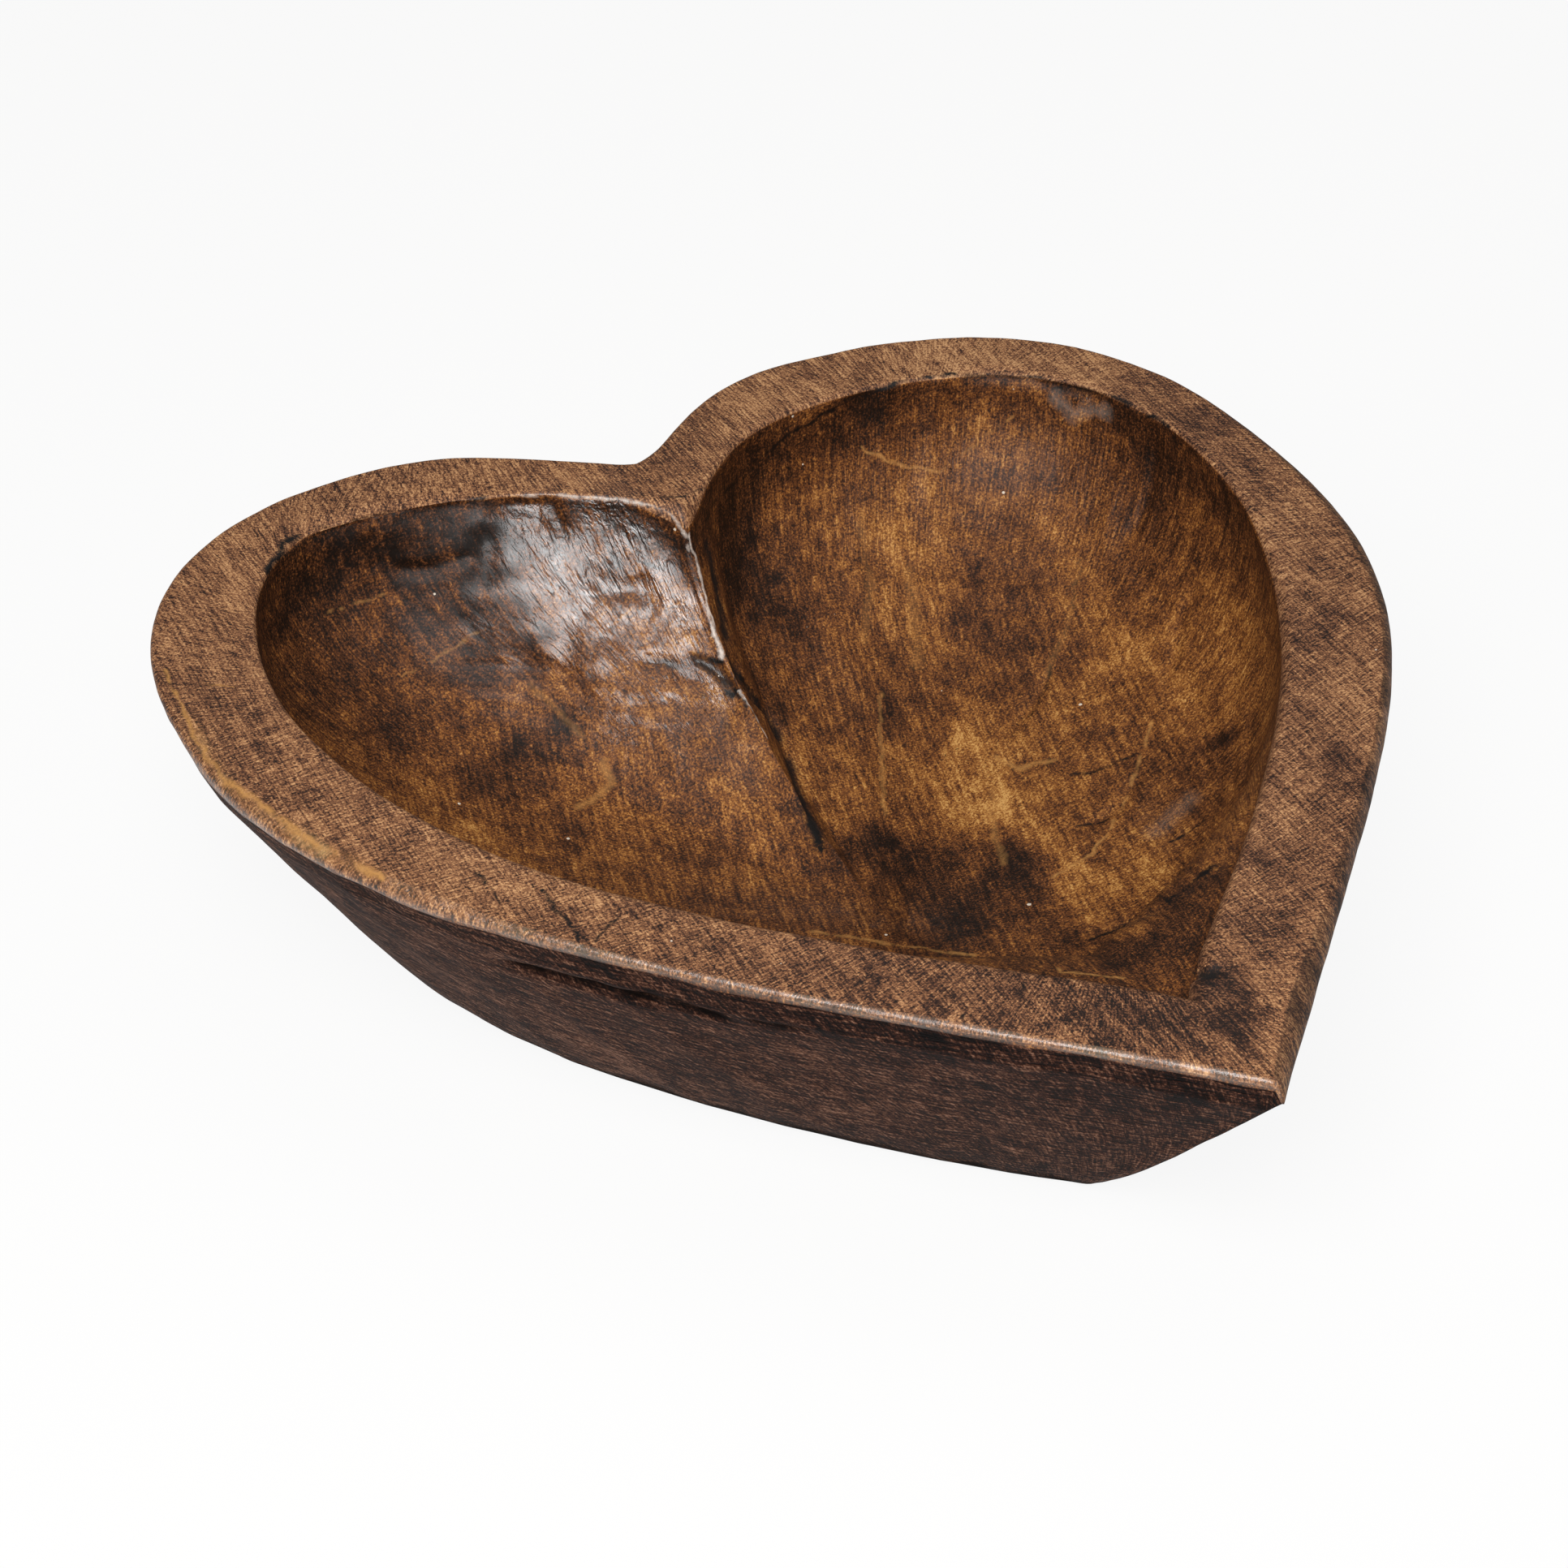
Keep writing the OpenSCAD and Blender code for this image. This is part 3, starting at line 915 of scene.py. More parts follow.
@dataclass
class ToolMarks:
    """The marks that gouge and scraper leave all over: sizes in millimetres.

    A scoop is deepest in its middle, and the level says where its profile meets the skin.
    The marks fade out towards the foot, which stays flat.
    """

    gouge_length: float = 34.0
    gouge_width: float = 13.0
    gouge_depth: float = 0.8
    wave_length: float = 22.0
    wave_height: float = 1.0
    wave_detail: float = 3.0
    ridge_softness: float = 0.3
    scoop_power: float = 2.0
    scoop_level: float = 0.35
    foot_fade: float = 4.0
    finish_share: float = 0.5
    seed: float = 3.0

    def tree(self) -> bpy.types.NodeTree:
        """Builds the tree that moves the skin along its normals and gives each stretch its finish.

        Returns:
            The tree, with an input for each size, the seed and the finishes.
        """
        tree = bpy.data.node_groups.new("tool_marks", "GeometryNodeTree")
        face = tree.interface
        face.new_socket("Geometry", in_out="INPUT", socket_type="NodeSocketGeometry")
        for name in ("Gouge Length", "Gouge Width", "Gouge Depth", "Wave Length", "Wave Height", "Seed"):
            face.new_socket(name, in_out="INPUT", socket_type="NodeSocketFloat")
        for name in ("Hollow Finish", "Rim Finish", "Wall Finish"):
            face.new_socket(name, in_out="INPUT", socket_type="NodeSocketMaterial")
        face.new_socket("Geometry", in_out="OUTPUT", socket_type="NodeSocketGeometry")
        given = tree.nodes.new("NodeGroupInput").outputs
        run = add(tree, "GeometryNodeInputNamedAttribute", {"Name": RUN}, data_type="FLOAT_VECTOR")
        rim, wall, floor = (
            add(tree, "GeometryNodeInputNamedAttribute", {"Name": p.value}, data_type="FLOAT")
            for p in (Paint.RIM, Paint.WALL, Paint.FLOOR)
        )
        place = add(tree, "GeometryNodeInputPosition")
        height = add(tree, "ShaderNodeSeparateXYZ", {0: place}, out="Z")
        normal = add(tree, "GeometryNodeInputNormal")
        size = add(
            tree, "ShaderNodeCombineXYZ",
            {0: given["Gouge Width"], 1: given["Gouge Length"], 2: given["Gouge Length"]},
        )
        where = add(tree, "ShaderNodeMix", {0: floor, 4: run, 5: place}, out=1, data_type="VECTOR")
        cell = add(tree, "ShaderNodeVectorMath", {0: where, 1: size}, operation="DIVIDE")
        texture = {"Vector": cell, "W": given["Seed"], "Scale": 1.0, "Smoothness": self.ridge_softness}
        scoop = add(
            tree, "ShaderNodeTexVoronoi", texture,
            out="Distance", voronoi_dimensions="4D", feature="SMOOTH_F1",
        )
        scoop = calc(tree, "POWER", scoop, self.scoop_power)
        scoop = calc(tree, "SUBTRACT", scoop, self.scoop_level)
        scoop = calc(tree, "MULTIPLY", scoop, given["Gouge Depth"])
        scoop = calc(tree, "MULTIPLY", scoop, calc(tree, "SUBTRACT", 1.0, rim))
        rate = calc(tree, "DIVIDE", 1.0, given["Wave Length"])
        texture = {"Vector": place, "W": given["Seed"], "Scale": rate, "Detail": self.wave_detail}
        wave = add(tree, "ShaderNodeTexNoise", texture, noise_dimensions="4D")
        wave = calc(tree, "SUBTRACT", wave, NOISE_MIDDLE)
        push = calc(tree, "MULTIPLY_ADD", wave, given["Wave Height"], scoop)
        fade = {"Value": height, "From Min": 0.0, "From Max": self.foot_fade * MM}
        push = calc(tree, "MULTIPLY", push, add(tree, "ShaderNodeMapRange", fade))
        offset = add(tree, "ShaderNodeVectorMath", {0: normal, "Scale": push}, operation="SCALE")
        moved = add(tree, "GeometryNodeSetPosition", {"Geometry": given["Geometry"], "Offset": offset})
        dressed = add(tree, "GeometryNodeRealizeInstances", {0: moved})
        for name, share in (("Hollow Finish", None), ("Rim Finish", rim), ("Wall Finish", wall)):
            inputs = {"Geometry": dressed, "Material": given[name]}
            if share:
                inputs["Selection"] = add(
                    tree, "FunctionNodeCompare", {0: share, 1: self.finish_share},
                    data_type="FLOAT", operation="GREATER_THAN",
                )
            dressed = add(tree, "GeometryNodeSetMaterial", inputs)
        add(tree, "NodeGroupOutput", {0: dressed})
        return tree

    def carve(self, piece: bpy.types.Object, finishes: dict[str, bpy.types.Material]) -> None:
        """Cuts the marks into a piece and dresses it.

        Args:
            piece: The piece, whose mesh is replaced.
            finishes: The materials of its stretches, by the names of the tree's inputs.
        """
        tree = self.tree()
        modifier = piece.modifiers.new("tool_marks", "NODES")
        modifier.node_group = tree
        values = {
            "Gouge Length": self.gouge_length * MM,
            "Gouge Width": self.gouge_width * MM,
            "Gouge Depth": self.gouge_depth * MM,
            "Wave Length": self.wave_length * MM,
            "Wave Height": self.wave_height * MM,
            "Seed": self.seed,
            **finishes,
        }
        for item in tree.interface.items_tree:
            if item.in_out == "INPUT" and item.name in values:
                modifier[item.identifier] = values[item.name]
        graph = bpy.context.evaluated_depsgraph_get()
        mesh = bpy.data.meshes.new_from_object(piece.evaluated_get(graph), depsgraph=graph)
        piece.modifiers.remove(modifier)
        piece.data = mesh
        mesh.name = piece.name


@dataclass(frozen=True)
class WearAndShade:
    """Where the floor begins, and where wear, darker edges and painted shade lie before any single mark.

    A span says at which height, or at which place from the point to the cleft, a patch begins and
    is full, in millimetres. The rest are strengths from 0 to 1.
    """

    floor_height: Span = (38, 24)
    floor_in_point: Span = (-55, -68)
    front_edge: Span = (75, 25)
    right_edge: Span = (90, 40)
    # Painted shade in the hollow just below the back rim
    back_shade_lobes: Span = (-20, 30)
    back_shade_height: Span = (44, 62)
    back_shade_left: float = 0.22
    back_shade_right: float = 0.18
    edge_wear: float = 0.12
    edge_dark: float = 0.4
    # Painted shade on the band under the front arris
    band_shade: float = 0.2
    # Painted shade low on the wall, where it meets the floor
    foot_shade_height: Span = (8, 1)
    foot_shade: float = 0.7


@dataclass
class CarvedBowl:
    """The bowl: sizes in millimetres, and the methods that carve and dress it.

    A span of a radius or of the hollow's form says where it begins and is full, and a bulge holds
    the two exponents of the hollow's section.
    """

    width: float
    length: float
    height: float
    band_height: float = 9.0
    band_lean: float = 3.0
    floor_thickness: float = 14.0
    foot_inset: float = 44.0
    foot_swell: float = 4.0
    wall_rise_share: float = 0.47
    nose_reach: float = 36.0
    nose_round: float = 34.0
    shelf_power: float = 12.0
    drop_power: float = 1.1
    arris_sharp: float = 1.3
    arris_broad: float = 3.0
    arris_rubbed: float = 1.6
    broad_span: Span = (85, 45)
    rubbed_back: Span = (70, 30)
    rubbed_front: Span = (-45, -10)
    edge_sharp: float = 1.3
    edge_rolled: float = 3.2
    edge_at_cleft: float = 4.5
    cleft_reach: float = 7.0
    rolled_span: Span = (40, -30)
    wall_bulge: Pair = (2.5, 2.5)
    crest_bulge: Pair = (1.5, 1.7)
    cheek_bulge: Pair = (1.2, 2.1)
    crest_left: float = 12.0
    crest_right: float = 14.0
    cheek_end: Span = (30, 58)
    fine_steps: int = 1501
    half_steps: int = 298
    foot_rings: int = 3
    wall_rings: int = 46
    band_rings: int = 7
    arris_rings: int = 7
    rim_rings: int = 13
    edge_rings: int = 6
    hollow_rings: int = 76
    wear_and_shade: WearAndShade = WearAndShade()
    blotch_waves: float = 26.0
    blotch_sway: float = 0.35
    blotch_power: int = 3
    blotch_seed: int = 5
    mark_step: float = 4.0
    mark_reach: float = 3.0
    mark_end: float = 0.15
    mark_taper: float = 0.18
    half_places: dict[Side, tuple[np.ndarray, np.ndarray]] = field(init=False)
    outer: np.ndarray = field(init=False)
    inner: np.ndarray = field(init=False)
    foot: np.ndarray = field(init=False)
    around: np.ndarray = field(init=False)
    is_left: np.ndarray = field(init=False)
    skin: BVHTree = field(init=False)

    def __post_init__(self) -> None:
        """Works out the outlines that the rest of the bowl follows."""
        self.half_places = {s: self.places(s) for s in Side}
        self.outer = self.outline({s: self.rim_outside(s).controls() for s in Side})
        self.inner = self.outline({s: self.rim_inside(s).controls() for s in Side})
        self.foot = self.outline({s: self.foot_outline().controls() for s in Side})
        right, left = (self.half_places[s][1] for s in Side)
        self.around = np.concatenate([right, left[-2:0:-1]])
        self.is_left = np.concatenate([np.zeros(len(right), bool), np.ones(len(left) - 2, bool)])

    def rim_outside(self, side: Side) -> HalfHeart:
        """The outer edge of the rim on one side: the right lobe was cut a little fuller.

        Args:
            side: The half.

        Returns:
            The half outline.
        """
        w, y = self.width / 2, self.length / 2
        if side is Side.RIGHT:
            return HalfHeart(
                half_width=w, lobe_y=y - 2, widest_y=50, lobe_x=50, cleft_y=y - 25.5, point_y=-y,
                cleft_run=13, cleft_rise=3, crown=28, lobe_out=75, lobe_up=28, side_down=69,
                point_run=88, point_rise=89,
            )
        return HalfHeart(
            half_width=w, lobe_y=y, widest_y=50, lobe_x=54, cleft_y=y - 25.5, point_y=-y,
            cleft_run=11, cleft_rise=3, crown=30, lobe_out=28, lobe_up=71, side_down=74,
            point_run=44, point_rise=48,
        )

    def rim_inside(self, side: Side) -> HalfHeart:
        """The edge of the hollow on one side.

        Args:
            side: The half.

        Returns:
            The half outline.
        """
        w, y = self.width / 2, self.length / 2
        if side is Side.RIGHT:
            return HalfHeart(
                half_width=w - 16, lobe_y=y - 21, widest_y=64, lobe_x=55, cleft_y=y - 50, point_y=30 - y,
                cleft_run=15, cleft_rise=12, crown=34, lobe_out=40, lobe_up=26, side_down=86,
                point_run=5, point_rise=14,
            )
        return HalfHeart(
            half_width=w - 22, lobe_y=y - 18, widest_y=54, lobe_x=68, cleft_y=y - 50, point_y=30 - y,
            cleft_run=8, cleft_rise=13, crown=40, lobe_out=22, lobe_up=29, side_down=84,
            point_run=8, point_rise=18,
        )

    def foot_outline(self) -> HalfHeart:
        """The outline that the bowl stands on, nearly a rounded triangle.

        Returns:
            The half outline, the same for both sides.
        """
        w, y = self.width / 2 - self.foot_inset, self.length / 2 - self.foot_inset
        return HalfHeart(
            half_width=w, lobe_y=y, widest_y=46, lobe_x=53, cleft_y=y - 12, point_y=-76,
            cleft_run=35, cleft_rise=0, crown=33, lobe_out=18, lobe_up=30, side_down=46,
            point_run=4, point_rise=0,
        )

    def places(self, side: Side) -> tuple[np.ndarray, np.ndarray]:
        """Places that lie evenly spaced along half of the rim's outer edge.

        Args:
            side: The half.

        Returns:
            The shares of the control points at each place, and the distance of each from the cleft.
        """
        controls = self.rim_outside(side).controls()
        fine = np.linspace(0, CURVES, self.fine_steps)
        points = np.array([curve_weights(p) @ controls for p in fine])
        steps = np.linalg.norm(np.diff(points, axis=0), axis=1)
        run = np.concatenate([[0], np.cumsum(steps)])
        even = np.linspace(0, run[-1], self.half_steps + 1)
        return np.array([curve_weights(p) for p in np.interp(even, run, fine)]), even

    def outline(self, controls: dict[Side, np.ndarray]) -> np.ndarray:
        """A whole outline, clockwise from the cleft as seen from above.

        Args:
            controls: The control points of each half, as for the right one.

        Returns:
            One point for each column of the skin.
        """
        right = self.half_places[Side.RIGHT][0] @ controls[Side.RIGHT]
        left = (self.half_places[Side.LEFT][0] @ controls[Side.LEFT]) * (-1, 1)
        return np.concatenate([right, left[-2:0:-1]])

    def arris_radius(self) -> np.ndarray:
        """The radius of the outer edge all round: broad on the right, rubbed off at the left front.

        Returns:
            One radius for each column.
        """
        y = self.outer[:, 1]
        broad = smooth(*self.broad_span, y) * ~self.is_left
        rubbed = smooth(*self.rubbed_back, y) * smooth(*self.rubbed_front, y) * self.is_left
        return self.arris_sharp + self.arris_broad * broad + self.arris_rubbed * rubbed

    def edge_radius(self) -> np.ndarray:
        """The radius of the inner edge all round: rolled over in front and at the cleft, sharp behind.

        Returns:
            One radius for each column.
        """
        front = smooth(*self.rolled_span, self.inner[:, 1])
        cleft = np.exp(-(self.around / self.cleft_reach) ** 2)
        return self.edge_sharp + self.edge_rolled * front + self.edge_at_cleft * cleft

    def hollow_shares(self, drop: float) -> np.ndarray:
        """How far each column of the hollow still is from the middle, as a share.

        Args:
            drop: The depth, from 0 at the rim to 1 at the floor.

        Returns:
            One share for each column.
        """
        wall = bulge(drop, *self.wall_bulge)
        crest = bulge(drop, *self.crest_bulge)
        cheek = bulge(drop, *self.cheek_bulge)
        left = smooth(0, self.crest_left, self.around)
        right = np.clip(self.around / self.crest_right, 0, 1)
        beside = np.where(self.is_left, cheek, wall)
        share = crest + (beside - crest) * np.where(self.is_left, left, right)
        return share + (wall - share) * np.where(self.is_left, smooth(*self.cheek_end, self.around), 0)

    def section(self) -> tuple[list[Part], np.ndarray]:
        """The rings of the bowl, from the middle of the foot to the middle of the floor.

        Returns:
            The part and the points of every ring.
        """
        parts: list[Part] = []
        rings: list[np.ndarray] = []

        def ring(part: Part, flat: np.ndarray, z: np.ndarray | float) -> None:
            """Adds one ring at a height."""
            parts.append(part)
            rings.append(np.column_stack([flat, np.broadcast_to(z, len(flat))]))

        def across(start: np.ndarray, end: np.ndarray, share: np.ndarray | float) -> np.ndarray:
            """Goes a share of the way from one outline to another."""
            return start + (end - start) * np.reshape(share, (-1, 1))

        outer, inner, foot = self.outer, self.inner, self.foot
        rim_width = np.linalg.norm(inner - outer, axis=1)
        arris = self.arris_radius()
        edge = self.edge_radius()
        for i in range(1, self.foot_rings + 1):
            ring(Part.FOOT, foot * i / (self.foot_rings + 1), 0)
        wall_top = np.array((self.band_lean, self.height - self.band_height))
        wall_foot = np.array((self.foot_inset, 0))
        swell = np.array((self.foot_inset - self.foot_swell, 0))
        rise = wall_top + (swell - wall_top) * self.wall_rise_share
        for t in np.arange(self.wall_rings) / self.wall_rings:
            inset, z = (
                (1 - t) ** 3 * wall_foot + 3 * t * (1 - t) ** 2 * swell
                + 3 * t * t * (1 - t) * rise + t ** 3 * wall_top
            )
            ring(Part.WALL, across(outer, foot, inset / self.foot_inset), z)
        band_top = self.height - arris
        for t in np.arange(self.band_rings) / self.band_rings:
            inset = self.band_lean * (1 - t)
            z = wall_top[1] + (band_top - wall_top[1]) * t
            ring(Part.BAND, across(outer, foot, inset / self.foot_inset), z)
        for a in np.arange(self.arris_rings) * QUARTER_TURN / self.arris_rings:
            share = arris * (1 - math.cos(a)) / rim_width
            ring(Part.ARRIS, across(outer, inner, share), band_top + arris * math.sin(a))
        rim_from = arris / rim_width
        rim_to = 1 - edge / rim_width
        for t in np.arange(self.rim_rings) / self.rim_rings:
            ring(Part.RIM, across(outer, inner, rim_from + (rim_to - rim_from) * t), self.height)
        for a in np.arange(self.edge_rings) * QUARTER_TURN / self.edge_rings:
            share = rim_to + edge * math.sin(a) / rim_width
            ring(Part.EDGE, across(outer, inner, share), self.height - edge * (1 - math.cos(a)))
        top = self.height - edge
        for a in np.arange(self.hollow_rings) * QUARTER_TURN / self.hollow_rings:
            drop = math.sin(a) ** self.drop_power
            shares = self.hollow_shares(drop)
            settled = settle(drop, self.shelf_power)
            shift = np.zeros((CONTROLS, 2))
            shift[POINT_HANDLE:, 1] = self.nose_reach * settled * (1 - drop * drop)
            shift[POINT_HANDLE, 0] = self.nose_round * settled * bulge(drop, *self.wall_bulge)
            flat = inner * shares[:, None] + self.outline({s: shift for s in Side})
            ring(Part.HOLLOW, flat, top + (self.floor_thickness - top) * drop)
        return parts, np.array(rings)

    def loft(self) -> bpy.types.Object:
        """Makes the carved skin, with the attributes that its finish reads.

        Returns:
            The piece, without its tool marks and finishes.
        """
        parts, grid = self.section()
        count, around = grid.shape[:2]
        middles = np.array([(0, 0, 0), (0, 0, self.floor_thickness)])
        vertices = np.concatenate([grid.reshape(-1, 3), middles])
        index = np.arange(count * around).reshape(count, around)
        turned = np.roll(index, -1, axis=1)
        quads = np.stack([index[:-1], index[1:], turned[1:], turned[:-1]], axis=-1).reshape(-1, 4)
        foot, floor = count * around, count * around + 1
        faces = quads.tolist()
        faces += [(foot, a, b) for a, b in zip(index[0].tolist(), turned[0].tolist())]
        faces += [(floor, b, a) for a, b in zip(index[-1].tolist(), turned[-1].tolist())]
        mesh = bpy.data.meshes.new("carved_bowl")
        mesh.from_pydata((vertices * MM).tolist(), [], faces)
        mesh.shade_smooth()
        normals = np.zeros(len(vertices) * 3, np.float32)
        mesh.vertex_normals.foreach_get("vector", normals)

        self.skin = BVHTree.FromPolygons(vertices.tolist(), faces)
        paint = self.paint(parts, vertices, around)
        vertices = vertices + normals.reshape(-1, 3) * self.cut_marks(vertices, paint)[:, None]
        mesh.vertices.foreach_set("co", (vertices * MM).astype(np.float32).ravel())
        for p, values in paint.items():
            layer = mesh.attributes.new(p.value, "FLOAT", "POINT")
            layer.data.foreach_set("value", values.astype(np.float32))
        along = np.linalg.norm(np.diff(grid, axis=0), axis=2).mean(axis=1)
        along = np.concatenate([[0], np.cumsum(along)])
        run = np.zeros((len(vertices), 3))
        run[:-2, 0] = np.tile(self.around, count)
        run[:-2, 1] = np.repeat(along, around)
        run[-1, 1] = along[-1]
        layer = mesh.attributes.new(RUN, "FLOAT_VECTOR", "POINT")
        layer.data.foreach_set("vector", (run * MM).astype(np.float32).ravel())
        mesh.update()
        bowl = bpy.data.objects.new("carved_bowl", mesh)
        bpy.context.scene.collection.objects.link(bowl)
        return bowl

    def paint(self, parts: list[Part], vertices: np.ndarray, around: int) -> dict[Paint, np.ndarray]:
        """The attributes of the skin before any mark.

        Args:
            parts: The part of every ring.
            vertices: The skin's points.
            around: How many points a ring has.

        Returns:
            The values of each attribute.
        """
        def over(stretch: tuple[Part, ...], columns: np.ndarray | float = 1.0) -> np.ndarray:
            """Gives a stretch of the section the value of each column, and zero elsewhere."""
            rows = np.array([part in stretch for part in parts], float)
            grid = np.outer(rows, np.broadcast_to(columns, around))
            return np.concatenate([grid.ravel(), [rows[0], rows[-1]]])

        paint = {p: np.zeros(len(vertices)) for p in Paint}
        paint[Paint.RIM] = over((Part.RIM, Part.EDGE, Part.ARRIS))
        paint[Paint.WALL] = over((Part.WALL, Part.BAND, Part.FOOT))
        y, z = vertices[:, 1], vertices[:, 2]
        hollow = over((Part.HOLLOW,))
        lie = self.wear_and_shade
        level, point = smooth(*lie.floor_height, z), smooth(*lie.floor_in_point, y)
        paint[Paint.FLOOR] = hollow * np.maximum(level, point)
        column_y = self.outer[:, 1]
        front = self.is_left * smooth(*lie.front_edge, column_y)
        right = ~self.is_left * smooth(*lie.right_edge, column_y)
        # Painted shade just below the back rim, stronger on the left
        behind = np.where(self.is_left, lie.back_shade_left, lie.back_shade_right)
        behind = behind * smooth(*lie.back_shade_lobes, column_y)
        paint[Paint.TONE] -= over((Part.HOLLOW,), behind) * smooth(*lie.back_shade_height, z)
        paint[Paint.WEAR] += lie.edge_wear * over((Part.ARRIS,), front)
        paint[Paint.WAX] += over((Part.ARRIS,), front)
        # Painted shade on the band under the front arris
        paint[Paint.DARK] += lie.band_shade * over((Part.BAND,), front)
        paint[Paint.DARK] += lie.edge_dark * over((Part.ARRIS,), right)
        # Painted shade low on the wall, near the floor
        paint[Paint.DARK] += lie.foot_shade * over((Part.WALL,)) * smooth(*lie.foot_shade_height, z)
        uneven = waver(vertices, self.blotch_waves, self.blotch_seed)
        for blotch in BLOTCHES:
            spot = self.spot(blotch.x, blotch.y)
            if spot is None:
                log.warning("a blotch misses the bowl: %s", blotch)
                continue
            sway = self.blotch_sway * blotch.radius * uneven
            gap = np.linalg.norm(vertices + sway - np.array(spot), axis=1)
            force = np.exp(-(gap / blotch.radius) ** self.blotch_power)
            paint[Paint.TONE] += blotch.tone * force
            paint[Paint.WAX] = np.maximum(paint[Paint.WAX], blotch.wax * force)
        paint[Paint.WAX] *= 1 - paint[Paint.WALL]
        return paint

    def spot(self, x: float, y: float) -> Vector | None:
        """The point of the bowl that a pixel of the photograph shows, in millimetres."""
        camera = PhotoCamera()
        return self.skin.ray_cast(Vector(camera.place), camera.ray(x, y))[0]

    def cut_marks(self, vertices: np.ndarray, paint: dict[Paint, np.ndarray]) -> np.ndarray:
        """Cuts the marks of the photograph into the skin.

        Args:
            vertices: The skin's points.
            paint: The attributes, which get the marks' colours.

        Returns:
            How far each point moves along its normal.
        """
        push = np.zeros(len(vertices))
        for mark in MARKS:
            path = np.array(mark.path, float)
            steps = np.linalg.norm(np.diff(path, axis=0), axis=1)
            length = np.concatenate([[0], np.cumsum(steps)])
            even = np.linspace(0, length[-1], max(int(length[-1] / self.mark_step), 2))
            hits = [self.spot(*(np.interp(s, length, path[:, k]) for k in (0, 1))) for s in even]
            kept = [i for i, hit in enumerate(hits) if hit is not None]
            if not kept:
                log.warning("a mark misses the bowl: %s", mark.name)
                continue
            spots = np.array([hits[i] for i in kept])
            place = even[kept] / length[-1]
            ends = np.minimum(smooth(0, self.mark_taper, place), smooth(1, 1 - self.mark_taper, place))
            fade = self.mark_end + (1 - self.mark_end) * ends
            reach = self.mark_reach * mark.width
            low, high = spots.min(0) - reach, spots.max(0) + reach
            near = np.flatnonzero(((vertices > low) & (vertices < high)).all(1))
            gap = np.linalg.norm(vertices[near, None] - spots[None], axis=2)
            force = (np.exp(-(gap / mark.width) ** 2) * fade).max(1)
            deeper = np.abs(force * mark.depth) > np.abs(push[near])
            push[near] = np.where(deeper, -force * mark.depth, push[near])
            for p, strength in ((Paint.DARK, mark.dark), (Paint.WEAR, mark.wear)):
                paint[p][near] = np.maximum(paint[p][near], force * strength)
        return push

    def strokes(self, lines: tuple[Line, ...]) -> dict[Ink, list[Stroke]]:
        """Lays thin lines on the bowl.

        Args:
            lines: The lines, in pixels of the photograph.

        Returns:
            Their straight pieces, by ink.
        """
        strokes = {ink: [] for ink in Ink}
        for line in lines:
            spots = [self.spot(x, y) for x, y in line.path]
            for start, end in zip(spots, spots[1:]):
                if start is None or end is None:
                    log.warning("a line misses the bowl: %s", line.name)
                    continue
                strokes[line.ink].append(Stroke(start * MM, end * MM, line.width * MM, line.strength))
        return strokes


@dataclass(frozen=True)
class Lamp:
    """A soft square lamp that looks at the bowl: lengths in metres, and power in watts."""

    name: str
    towards: tuple[float, float, float]
    away: float
    side: float
    power: float
    aim_height: float = 40 * MM

    def build(self) -> None:
        """Makes the lamp."""
        data = bpy.data.lights.new(self.name, "AREA")
        data.size = self.side
        data.energy = self.power
        lamp = bpy.data.objects.new(self.name, data)
        direction = Vector(self.towards).normalized()
        lamp.location = direction * self.away + Vector((0, 0, self.aim_height))
        lamp.rotation_euler = direction.to_track_quat("Z", "Y").to_euler()
        bpy.context.scene.collection.objects.link(lamp)


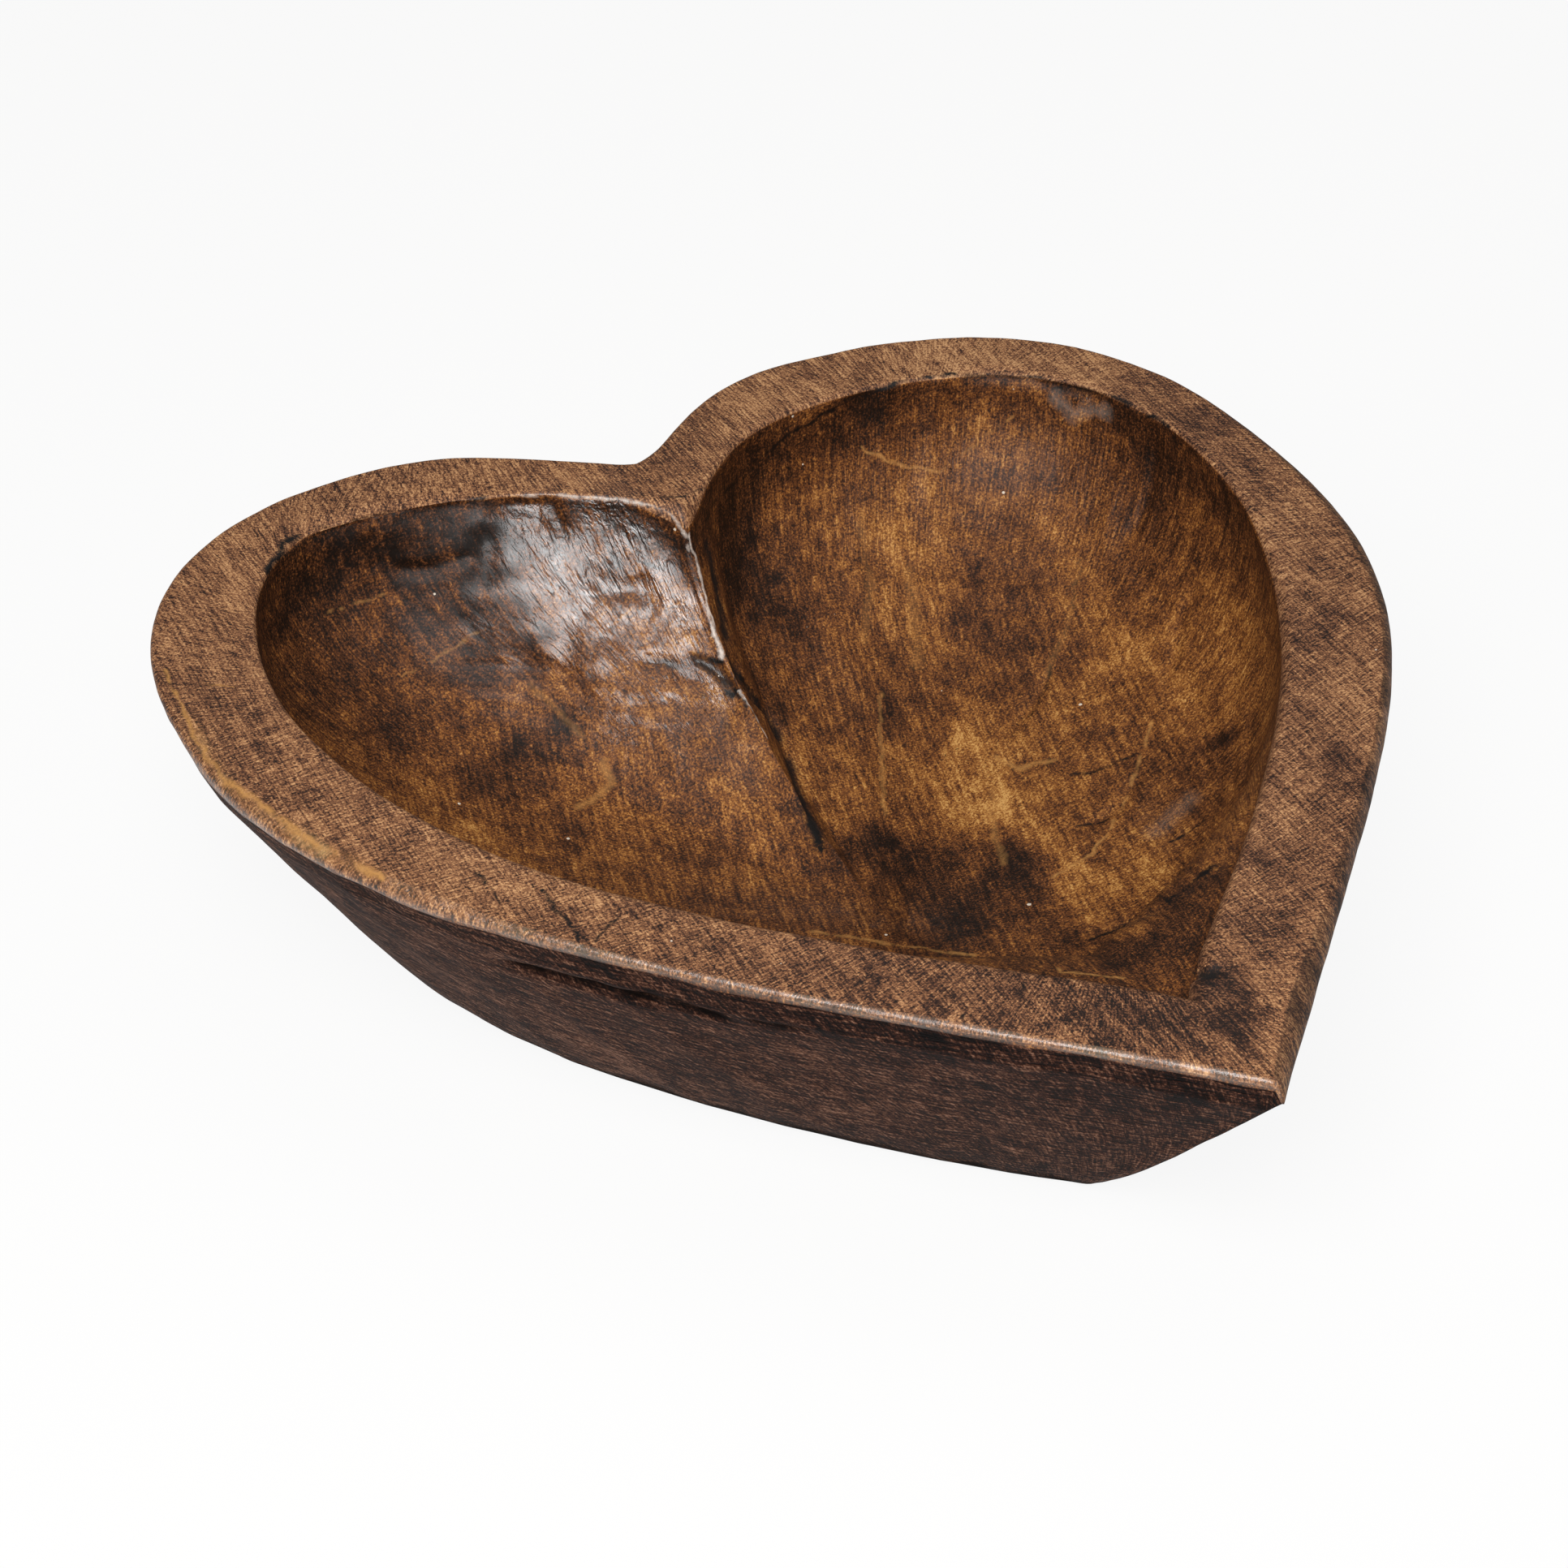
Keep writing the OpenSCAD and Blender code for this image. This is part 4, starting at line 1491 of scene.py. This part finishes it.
@dataclass
class Studio:
    """A pale floor, soft lamps and a dim surround, which shows as pale as the floor to the camera."""

    floor_size: float = 6.0
    surround: float = 0.12
    floor_glow: float = 0.9
    paper_colour: str = "#e8e6e3"
    white: str = "#ffffff"
    lamps: tuple[Lamp, ...] = (
        Lamp("key_softbox", (-0.46, -0.54, 0.7), away=1.0, side=0.55, power=11.5),
        Lamp("overhead", (0.1, 0.2, 1.0), away=1.3, side=0.9, power=2.8),
        Lamp("side_fill", (0.7, -0.4, 0.6), away=1.3, side=0.8, power=1.4),
    )

    def build(self) -> None:
        """Makes the floor, the lamps and the world."""
        self.floor()
        for lamp in self.lamps:
            lamp.build()
        world = bpy.data.worlds.new("surround")
        world.use_nodes = True
        tree = world.node_tree
        tree.nodes.clear()
        path = tree.nodes.new("ShaderNodeLightPath").outputs
        paler = self.floor_glow - self.surround
        glow = calc(tree, "MULTIPLY_ADD", path["Is Camera Ray"], paler, self.surround)
        shader = add(tree, "ShaderNodeBackground", {"Color": linear(self.white), "Strength": glow})
        add(tree, "ShaderNodeOutputWorld", {"Surface": shader})
        bpy.context.scene.world = world

    def floor(self) -> bpy.types.Object:
        """Makes the floor, white to the eye, which keeps the bowl's shadow.

        Returns:
            The floor.
        """
        half = self.floor_size / 2
        corners = [(-half, -half, 0), (half, -half, 0), (half, half, 0), (-half, half, 0)]
        mesh = bpy.data.meshes.new("floor")
        mesh.from_pydata(corners, [], [(0, 1, 2, 3)])
        material = bpy.data.materials.new("white_paper")
        material.use_nodes = True
        tree = material.node_tree
        tree.nodes.clear()
        matt = add(tree, "ShaderNodeBsdfDiffuse", {"Color": linear(self.paper_colour)})
        glow = add(tree, "ShaderNodeEmission", {"Color": linear(self.white), "Strength": 1.0})
        path = tree.nodes.new("ShaderNodeLightPath").outputs
        seen = calc(tree, "MAXIMUM", path["Is Camera Ray"], path["Is Glossy Ray"])
        seen = calc(tree, "MAXIMUM", seen, path["Is Transmission Ray"])
        share = calc(tree, "MULTIPLY", seen, self.floor_glow)
        shader = add(tree, "ShaderNodeMixShader", {0: share, 1: matt, 2: glow})
        add(tree, "ShaderNodeOutputMaterial", {"Surface": shader})
        mesh.materials.append(material)
        floor = bpy.data.objects.new("floor", mesh)
        bpy.context.scene.collection.objects.link(floor)
        return floor


def main() -> None:
    """Builds the camera, the studio, the bowl and its finish."""
    logging.basicConfig(level=logging.INFO, format="%(name)s: %(message)s")
    bpy.context.scene.view_settings.view_transform = "Standard"
    PhotoCamera().build()
    Studio().build()
    low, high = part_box(CAD_NODE)
    size = (high - low) / MM
    bowl = CarvedBowl(size.x, size.y, size.z)
    piece = bowl.loft()
    finishes = {
        "Hollow Finish": WAXED_HOLLOW.material(bowl.strokes(HOLLOW_LINES + EDGE_LINES)),
        "Rim Finish": SANDED_RIM.material(bowl.strokes(RIM_LINES + EDGE_LINES)),
        "Wall Finish": RAW_WALL.material({}),
    }
    ToolMarks().carve(piece, finishes)
    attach(piece, BODY)
    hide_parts(CAD_NODE)
    log.info("%s: %d faces", piece.name, len(piece.data.polygons))


if __name__ == "__main__":
    main()
